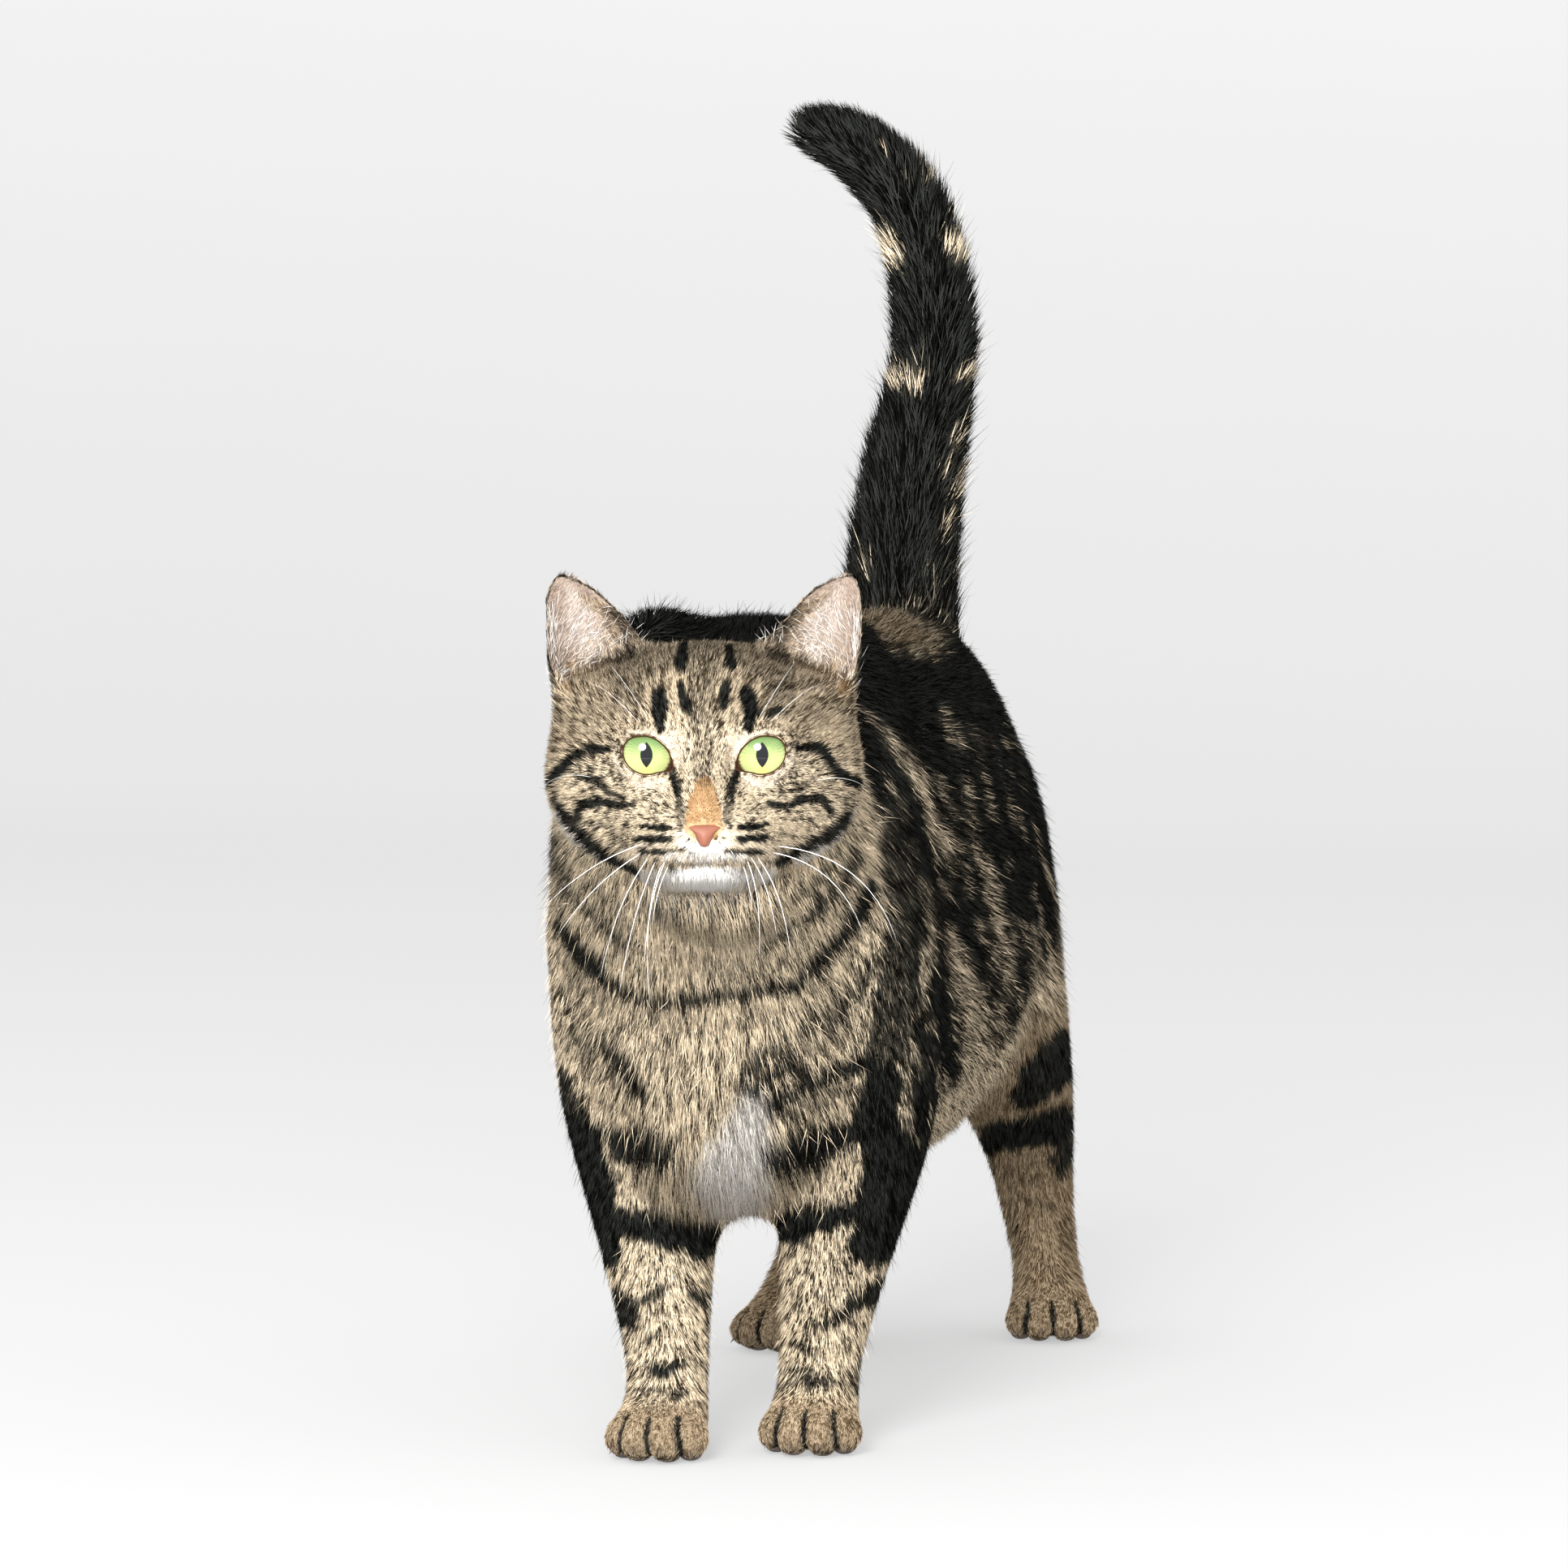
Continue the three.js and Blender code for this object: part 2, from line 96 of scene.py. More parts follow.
# The nose leather, as a path of (across, up, half width) on which no hair grows.
LEATHER = ((-5, -21.8, 1.8), (5, -21.8, 1.8), (0, -25.5, 2))
EAR_LEVELS = (
    (30, 3, 18), (31.8, 2, 28), (34.5, 2, 38), (38.8, 3, 48), (43.3, 4.5, 57.5), (45.5, 5.5, 62.5),
)


def centre_of(node):
    """The middle of a node's box, in metres."""
    low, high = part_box(node)
    return (low + high) / 2


def head_matrix():
    """The head's own frame: its origin is in the middle of the skull, and -Y leads to the nose."""
    left, right = centre_of("eye_left"), centre_of("eye_right")
    across = left - right
    turn = Matrix.Rotation(math.atan2(across.y, across.x), 4, "Z")
    turn @= Matrix.Rotation(math.radians(-HEAD_RAISED), 4, "X")
    back = Matrix.Translation(Vector((0, EYE_DEPTH, -EYE_HEIGHT)) * MM)
    return Matrix.Translation((left + right) / 2) @ turn @ back


HEAD = head_matrix()
HEAD_TURN = np.array(HEAD.to_3x3())
HEAD_ORIGIN = np.array(HEAD.translation)


def in_head(points):
    """Points of the row frame, in metres, as millimetres in the head's frame."""
    return (points - HEAD_ORIGIN) @ HEAD_TURN / MM


def from_head(points):
    """Millimetres in the head's frame as points of the row frame, in metres."""
    return np.asarray(points, float) * MM @ HEAD_TURN.T + HEAD_ORIGIN


def paw_turn(leg):
    """How the frame of a paw is turned."""
    return np.array(Matrix.Rotation(math.radians(PAWS[leg][2]), 3, "Z"))


def in_paw(points, leg):
    """Points in metres as millimetres in the frame of a paw, whose toes point along -Y."""
    origin = np.array([*PAWS[leg][:2], 0])
    return (points / MM - origin) @ paw_turn(leg) / PAW_SCALE


def from_paw(points, leg):
    """Millimetres in the frame of a paw as points of the row frame, in metres."""
    origin = np.array([*PAWS[leg][:2], 0])
    return (np.asarray(points, float) * PAW_SCALE @ paw_turn(leg).T + origin) * MM


# ---- numbers over many points --------------------------------------------------------------


def unit(vectors):
    """The vectors at a length of 1."""
    return vectors / np.maximum(np.linalg.norm(vectors, axis=-1, keepdims=True), 1e-12)


def smooth(low, high, values):
    """0 below low, 1 above high, and a smooth slope between them."""
    t = np.clip((values - low) / (high - low), 0, 1)
    return t * t * (3 - 2 * t)


def mixed(first, second, share):
    """From first at a share of 0 to second at a share of 1."""
    return first + (second - first) * share


def relaxed(values, edges, weight, rounds):
    """Values at the points of a mesh, moved towards the mean of their neighbours."""
    ends = np.concatenate([edges, edges[:, ::-1]])
    count = np.maximum(np.bincount(ends[:, 0], minlength=len(values)), 1)[:, None]
    weight = np.broadcast_to(weight, len(values))[:, None]
    for _ in range(rounds):
        near = [np.bincount(ends[:, 0], column[ends[:, 1]], len(values)) for column in values.T]
        values = values + weight * (np.stack(near, 1) / count - values)
    return values


def path_distance(points, path):
    """Distance from points to a path of places, each with a half width after it, less that."""
    path = np.array(path, float)
    best = np.full(len(points), 1e9)
    for start, end in zip(path[:-1], path[1:]):
        step = end[:-1] - start[:-1]
        t = np.clip((points - start[:-1]) @ step / max(step @ step, 1e-9), 0, 1)
        gap = np.linalg.norm(points - start[:-1] - t[:, None] * step, axis=1)
        best = np.minimum(best, gap - start[-1] - t * (end[-1] - start[-1]))
    return best


def ripple(points, size, seed):
    """Soft noise between about -1 and 1 over points in millimetres, with features of a size."""
    draw = np.random.default_rng(seed)
    total = np.zeros(len(points))
    waves = 7
    for _ in range(waves):
        direction = unit(draw.normal(size=3)) * 2 * math.pi / size * draw.uniform(0.6, 1.5)
        total += np.sin(points @ direction + draw.uniform(0, 2 * math.pi))
    return total / math.sqrt(waves)


# ---- meshes and objects --------------------------------------------------------------------


def read(collection, name, width, kind=np.float32):
    """One property of every item of a collection, as a row of a width for each."""
    values = np.empty(len(collection) * width, kind)
    collection.foreach_get(name, values)
    return values.reshape(-1, width) if width > 1 else values


def points_of(mesh):
    return read(mesh.vertices, "co", 3).astype(float)


def normals_of(mesh):
    return read(mesh.vertex_normals, "vector", 3).astype(float)


def write_points(mesh, points):
    mesh.vertices.foreach_set("co", np.ascontiguousarray(points, np.float32).ravel())
    mesh.update()


def write_attribute(mesh, name, values):
    """Writes one number for each point of a mesh, for its material to read."""
    attribute = mesh.attributes.get(name) or mesh.attributes.new(name, "FLOAT", "POINT")
    attribute.data.foreach_set("value", np.ascontiguousarray(values, np.float32))


def shaded_smooth(mesh):
    mesh.polygons.foreach_set("use_smooth", np.ones(len(mesh.polygons), bool))


def link(name, mesh, material):
    """Puts a mesh in the scene as a piece of the cat, under a name and with a material, riding on the
    root.
    """
    piece = bpy.data.objects.new(name, mesh)
    mesh.name = name
    mesh.materials.clear()
    mesh.materials.append(material)
    bpy.context.scene.collection.objects.link(piece)
    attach(piece, "root")
    return piece


def finished(name, shape, outward=True):
    """A bmesh as a smooth mesh."""
    if outward:
        bmesh.ops.recalc_face_normals(shape, faces=shape.faces)
    mesh = bpy.data.meshes.new(name)
    shape.to_mesh(mesh)
    shape.free()
    shaded_smooth(mesh)
    return mesh


def tube(shape, line, radii, sides, closed=False):
    """Adds a round tube along a line of points to a bmesh; an open one ends in points."""
    line = [Vector(point) for point in line]
    if closed:
        line = [line[-1], *line, line[0]]
        ahead = [after - before for before, after in zip(line, line[2:])]
        line, ahead = line[1:], [*ahead, ahead[0]]
        radii = [*radii, radii[0]]
    else:
        ahead = [after - before for before, after in zip(line, line[1:])]
        ahead.append(ahead[-1])
    places = []
    for point, way, radius in zip(line, ahead, radii):
        turn = way.to_track_quat("Z", "Y").to_matrix().to_4x4()
        places.append(Matrix.Translation(point) @ turn @ Matrix.Scale(radius, 4))
    made = bmesh.ops.create_circle(shape, segments=sides, radius=1, matrix=places[0])
    first = ring = made["verts"]
    edges = {edge for vert in ring for edge in vert.link_edges}
    for before, after in zip(places, places[1:]):
        out = bmesh.ops.extrude_edge_only(shape, edges=list(edges))["geom"]
        ring = [item for item in out if isinstance(item, bmesh.types.BMVert)]
        edges = {edge for vert in ring for edge in vert.link_edges if edge.other_vert(vert) in ring}
        bmesh.ops.transform(shape, matrix=after @ before.inverted(), verts=ring)
    if closed:
        bmesh.ops.remove_doubles(shape, verts=first + ring, dist=WELD / 10)
    else:
        bmesh.ops.pointmerge(shape, verts=first, merge_co=line[0])
        bmesh.ops.pointmerge(shape, verts=ring, merge_co=line[-1])


# ---- which part of the body a point is on ---------------------------------------------------

# Over each part: depth of the coat, and a tuft's length, half width, lift in degrees from the
# skin, and number to the square millimetre. The head's numbers change from the nose back.
DEPTH, LENGTH, WIDTH, LIFT, NUMBER = range(5)
COAT = {
    "head": (0, 0, 0, 0, 0),
    "neck": (3.0, 9, 0.20, 34, 1.7),
    "chest": (3.2, 9.5, 0.20, 34, 1.75),
    "belly": (2.8, 9, 0.25, 34, 0.85),
    "rump": (2.8, 9, 0.25, 34, 0.95),
    "tail_root": (4.6, 17, 0.28, 38, 0.85),
    "tail_middle": (4.4, 17, 0.28, 38, 0.85),
    "tail_end": (4.0, 16, 0.28, 38, 0.85),
    "tail_tip": (3.4, 13, 0.26, 36, 1.4),
    "shoulder": (2.8, 8.5, 0.21, 34, 1.5),
    "forearm": (1.8, 5.5, 0.18, 34, 1.85),
    "thigh": (2.8, 8.5, 0.23, 34, 1.15),
    "shank": (1.8, 6, 0.21, 34, 1.15),
    "paw": (0.7, 2.4, 0.15, 26, 2.3),
    "ear": (0.6, 3.0, 0.13, 16, 2.2),
}
NEAR_NOSE = np.array([0.5, 1.5, 0.10, 22, 5.3])
BEHIND_EARS = np.array([1.8, 6.5, 0.18, 36, 2.6])
NOSE_TO_NAPE = 95
SMOOTHING = {"head": 0.25, "ear": 0.15, "paw": 0.12}
BODY_SMOOTHING = 0.7

# Which way the hair lies on each part, before it is laid flat on the skin.
LIE = {
    "neck": (0, 0.7, -0.7), "chest": (0, 0.6, -0.8), "belly": (0, 0.85, -0.5),
    "rump": (0, 0.8, -0.6), "shoulder": (0, 0.4, -0.9), "forearm": (0, 0.15, -1),
    "thigh": (0, 0.45, -0.9), "shank": (0, 0.2, -1), "paw": (0, -0.6, -0.8),
}


def kind_of(node):
    """The row of the tables above that a node belongs to."""
    if node in COAT:
        return node
    return next(word for word in node.split("_") if word in COAT)


KINDS = [kind_of(node) for node in FLESH]


def part_share(share, *kinds):
    """How much of some kinds of part there is at each point of a table of shares."""
    return share[:, [index for index, kind in enumerate(KINDS) if kind in kinds]].sum(1)


def nearest_parts(points):
    """For each point, which of the FLESH solids it lies on."""
    corners, faces, owners = [], [], []
    for index, node in enumerate(FLESH):
        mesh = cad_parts[node].data
        start = len(corners)
        corners.extend(vert.co for vert in mesh.vertices)
        faces.extend([start + i for i in face.vertices] for face in mesh.polygons)
        owners.extend([index] * len(mesh.polygons))
    tree = BVHTree.FromPolygons(corners, faces)
    return np.array([owners[tree.find_nearest(point)[2]] for point in points])


def shares_of(mesh):
    """How much of each FLESH solid the skin is at each of its points, softly shared at joins."""
    points = points_of(mesh)
    share = np.zeros((len(points), len(FLESH)))
    share[np.arange(len(points)), nearest_parts(points)] = 1
    return relaxed(share, read(mesh.edges, "vertices", 2, np.int32), 0.8, 16)


def round_eye(place):
    """Across and up from the middle of the nearer eye, with outwards positive, and the side."""
    side = np.where(place[:, 0] < 0, -1.0, 1.0)
    return np.stack([place[:, 0] * side - EYE_OUT, place[:, 2] - EYE_HEIGHT], 1), side


def lid_gap(flat):
    """Distance out from the edge of the lids, for places (outwards, up) from the eye's middle."""
    angle = np.degrees(np.arctan2(flat[:, 1], flat[:, 0])) % 360
    degrees, radii = np.array(LID_EDGE).T
    edge = sum(np.interp(angle + turn, degrees, radii, period=360) for turn in (-6, 0, 6)) / 3
    return np.linalg.norm(flat, axis=1) - edge


def coat_numbers(points, share):
    """Depth, length, half width, lift and density of the coat at points in metres."""
    numbers = share @ np.array([COAT[kind] for kind in KINDS])
    place = in_head(points)
    far = np.linalg.norm(place - np.array(NOSE_TIP), axis=1)
    grown = np.clip(far / NOSE_TO_NAPE, 0, 1)[:, None]
    numbers += part_share(share, "head")[:, None] * mixed(NEAR_NOSE, BEHIND_EARS, grown ** 1.15)
    # shorter and thinner round the eyes
    front = smooth(0, -15, place[:, 1])
    flat, _ = round_eye(place)
    gap = lid_gap(flat)
    numbers[:, LENGTH] *= 1 - front * 0.6 * (1 - smooth(0, 9, gap))
    numbers[:, DEPTH] *= 1 - front * 0.6 * (1 - smooth(0, 6, gap))
    # longer between the forelegs, under the belly, on the chin and low on the cheeks
    fringe = smooth(122, 100, points[:, 2] / MM) * smooth(-95, -108, points[:, 1] / MM)
    fringe *= part_share(share, "chest") * smooth(34, 20, np.abs(points[:, 0] / MM))
    numbers[:, LENGTH] *= 1 + 1.3 * fringe
    numbers[:, LENGTH] *= 1 + 0.9 * part_share(share, "belly") * smooth(110, 88, points[:, 2] / MM)
    chin = front * smooth(-31, -36, place[:, 2]) * smooth(26, 14, np.abs(place[:, 0]))
    numbers[:, LENGTH] *= 1 + 2.2 * chin + 0.5 * front * smooth(-18, -30, place[:, 2])
    # none within the lids and on the nose leather
    bare = front * (1 - smooth(0.35, 0.6, gap))
    leather = 1 - smooth(0, 1.0, path_distance(place[:, [0, 2]], LEATHER))
    numbers[:, NUMBER] *= (1 - bare) * (1 - front * leather)
    return numbers


TAIL_LINE = np.array([centre_of(node) for node in TAIL_PARTS])


def lie_of_coat(points, share):
    """Which way the hair lies at points in metres: from the nose back, and down to the feet."""
    lie = share @ np.array([LIE.get(kind, (0, 0, 0)) for kind in KINDS])
    tail = part_share(share, *TAIL_PARTS)
    # backwards along the back
    lie[:, 1] += 1.2 * smooth(225, 262, points[:, 2] / MM) * (1 - 0.8 * tail)
    # on the head away from the nose, lower on the cheeks and chin, and out round the eyes
    place = in_head(points)
    away = unit(place - np.array(NOSE_TIP))
    away[:, 2] -= 0.3 * smooth(10, 40, np.abs(place[:, 0])) * smooth(8, -10, place[:, 2])
    away[:, 2] -= 2.0 * smooth(-28, -36, place[:, 2])
    flat, side = round_eye(place)
    aside = unit(flat) * (2.2 * smooth(0, -15, place[:, 1]) * smooth(9, 0, lid_gap(flat)))[:, None]
    away[:, 0] += aside[:, 0] * side
    away[:, 2] += aside[:, 1]
    lie += part_share(share, "head")[:, None] * (away @ HEAD_TURN.T)
    # up the ears and up the tail
    mirror = np.stack([side, np.ones(len(side)), np.ones(len(side))], 1)
    up_ear = unit(np.array(EAR_LEVELS[-1]) * mirror + (0, 0, 20) - place)
    lie += part_share(share, "ear")[:, None] * (up_ear @ HEAD_TURN.T)
    nearest = np.argmin(((points[:, None] - TAIL_LINE) ** 2).sum(2), axis=1)
    along = unit(np.gradient(TAIL_LINE, axis=0))
    lie += tail[:, None] * along[nearest]
    return lie


# ---- skin ----------------------------------------------------------------------------------

VOXEL = 2.4
GROOVE_DEPTH = 1.5
CLOSING = 0.6  # each solid swells by this, so that the gaps between them close
# Grooves of the face as (across, up, half width), carved into the front of the skin.
MOUTH = ((-17, -34.5, 0.3), (-12, -34.6, 0.4), (-6, -33.4, 0.5), (0, -32.6, 0.5),
         (6, -33.4, 0.5), (12, -34.6, 0.4), (17, -34.5, 0.3))
PHILTRUM = ((0, -26, 0.4), (0, -32.6, 0.4))
# Grooves between the toes as (across, up, half width), in the front of each paw.
TOE_GROOVES = (
    ((0, 0, 0.5), (0, 9, 0.4), (-0.4, 16, 0.2)),
    ((10.6, 0, 0.7), (11, 8, 0.5), (9.4, 16, 0.2)),
    ((-10.6, 0, 0.7), (-11, 8, 0.5), (-9.4, 16, 0.2)),
)


def copy_of_flesh():
    """All the solids of flesh and the eyes as one mesh, each swollen to touch its neighbours."""
    whole = bpy.data.meshes.new("flesh")
    joined = bmesh.new()
    for node in FLESH + EYES:
        part = bmesh.new()
        part.from_mesh(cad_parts[node].data)
        bmesh.ops.remove_doubles(part, verts=part.verts, dist=WELD)
        part.normal_update()
        for vert in part.verts:
            vert.co += vert.normal * CLOSING * MM
        part.to_mesh(whole)
        part.free()
        joined.from_mesh(whole)
    joined.to_mesh(whole)
    joined.free()
    return whole


def remeshed(mesh, voxel):
    """The outer surface of a mesh as even quads, as a new mesh."""
    body = bpy.data.objects.new("flesh", mesh)
    bpy.context.scene.collection.objects.link(body)
    remesh = body.modifiers.new("voxels", "REMESH")
    remesh.mode = "VOXEL"
    remesh.voxel_size = voxel * MM
    depsgraph = bpy.context.evaluated_depsgraph_get()
    result = bpy.data.meshes.new_from_object(body.evaluated_get(depsgraph))
    bpy.data.objects.remove(body)
    bpy.data.meshes.remove(mesh)
    return result


def detailed(mesh, wanted):
    """Halves the edges of a mesh whose two ends are both in the wanted mask."""
    shape = bmesh.new()
    shape.from_mesh(mesh)
    edges = [edge for edge in shape.edges if all(wanted[vert.index] for vert in edge.verts)]
    bmesh.ops.subdivide_edges(shape, edges=edges, cuts=1, use_grid_fill=True)
    shape.to_mesh(mesh)
    shape.free()


def toe_gap(points, leg):
    """Distance from the grooves between the toes of a paw, across its front."""
    toes = in_paw(points, leg)
    gap = np.min([path_distance(toes[:, [0, 2]], groove) for groove in TOE_GROOVES], axis=0)
    near = (np.abs(toes[:, 0]) < 26) & (toes[:, 1] > -34) & (toes[:, 1] < -6)
    return np.where(near, np.maximum(gap, 0), 99)


def face_front(place):
    """Where the skin of the face is made finer."""
    return (place[:, 1] < -22) & (np.abs(place[:, 0]) < 34) & (place[:, 2] > -44)


def sculpted_face(place):
    """Points of the skin in the head's frame, with lids, mouth and chin worked in."""
    place = place.copy()
    flat, side = round_eye(place)
    front = (place[:, 1] < -14) & (np.linalg.norm(flat, axis=1) < 17)
    gap = lid_gap(flat)
    # points next to the edge of the lids move onto it
    near = front & (np.abs(gap) < 0.24)
    flat[near] *= (1 - gap[near] / np.linalg.norm(flat[near], axis=1))[:, None]
    gap[near] = 0
    place[near, 0] = side[near] * (EYE_OUT + flat[near, 0])
    place[near, 2] = EYE_HEIGHT + flat[near, 1]
    # the lids follow a ball round the eye, and skin within their edge hides in the eye
    outer = EYE_RADIUS + LID
    reach = np.linalg.norm(flat, axis=1)
    bend = LID_BEND * outer
    slope = LID_BEND / math.sqrt(1 - LID_BEND ** 2)
    round_part = np.sqrt(np.maximum(outer ** 2 - np.minimum(reach, bend) ** 2, 0))
    lid = -EYE_DEPTH - round_part + np.maximum(reach - bend, 0) * slope
    hidden = -EYE_DEPTH - np.sqrt(np.maximum(EYE_RADIUS ** 2 - np.minimum(reach, 10) ** 2, 0)) + 2
    outside = mixed(lid, np.minimum(place[:, 1], lid), smooth(0, 5, gap))
    place[:, 1] = np.where(front, np.where(gap < -0.01, hidden, outside), place[:, 1])
    across = place[:, [0, 2]]
    groove = np.minimum(path_distance(across, MOUTH), path_distance(across, PHILTRUM))
    place[:, 1] += (place[:, 1] < -25) * GROOVE_DEPTH * np.exp(-np.maximum(groove, 0) ** 2 / 0.8)
    return place


def skin_mesh():
    """The solids as one surface, drawn in by the coat's depth, with a finer face and toes."""
    mesh = remeshed(copy_of_flesh(), VOXEL)
    share = shares_of(mesh)
    points = points_of(mesh)
    edges = read(mesh.edges, "vertices", 2, np.int32)
    strength = share @ np.array([SMOOTHING.get(kind, BODY_SMOOTHING) for kind in KINDS])
    points = relaxed(points, edges, strength, 50)
    write_points(mesh, points)
    depth = coat_numbers(points, share)[:, DEPTH]
    write_points(mesh, points - normals_of(mesh) * (depth + CLOSING)[:, None] * MM)
    detailed(mesh, face_front(in_head(points_of(mesh))))
    points = points_of(mesh)
    for leg in PAWS:
        toes = in_paw(points, leg)
        near = (np.abs(toes[:, 0]) < 24) & (toes[:, 1] < -4) & (toes[:, 1] > -32) & (toes[:, 2] < 19)
        detailed(mesh, near)
        points = points_of(mesh)
    # twice as fine again round the eyes, and finer still at the lids
    for reach in (12.5, 11.5):
        place = in_head(points_of(mesh))
        flat, _ = round_eye(place)
        detailed(mesh, (place[:, 1] < -22) & (np.linalg.norm(flat, axis=1) < reach))
    place = in_head(points_of(mesh))
    write_points(mesh, from_head(sculpted_face(place)))
    points = points_of(mesh)
    inward = -normals_of(mesh)
    for leg in PAWS:
        points += inward * (GROOVE_DEPTH * MM * np.exp(-toe_gap(points, leg) ** 2 / 0.9))[:, None]
    write_points(mesh, points)
    return mesh


def lid_rims():
    """A dark, rounded rim round the opening of each eye, and its inner corner."""
    shape = bmesh.new()
    for side in SIDES.values():
        angles = np.arange(0, 360, 4.0)
        ways = np.stack([np.cos(np.radians(angles)), np.sin(np.radians(angles))], 1)
        reach = -lid_gap(ways * 1e-6)
        flat = ways * reach[:, None]
        depth = np.sqrt((EYE_RADIUS + RIM_PROUD) ** 2 - reach ** 2)
        line = np.stack([side * (EYE_OUT + flat[:, 0]), -EYE_DEPTH - depth, EYE_HEIGHT + flat[:, 1]], 1)
        tube(shape, from_head(line), [RIM_RADIUS * MM] * len(line), 8, closed=True)
    return finished("eyelids", shape)


# ---- markings ------------------------------------------------------------------------------

PAINTS = ("black", "cream", "white", "tan", "pink", "pale", "grey", "brown")

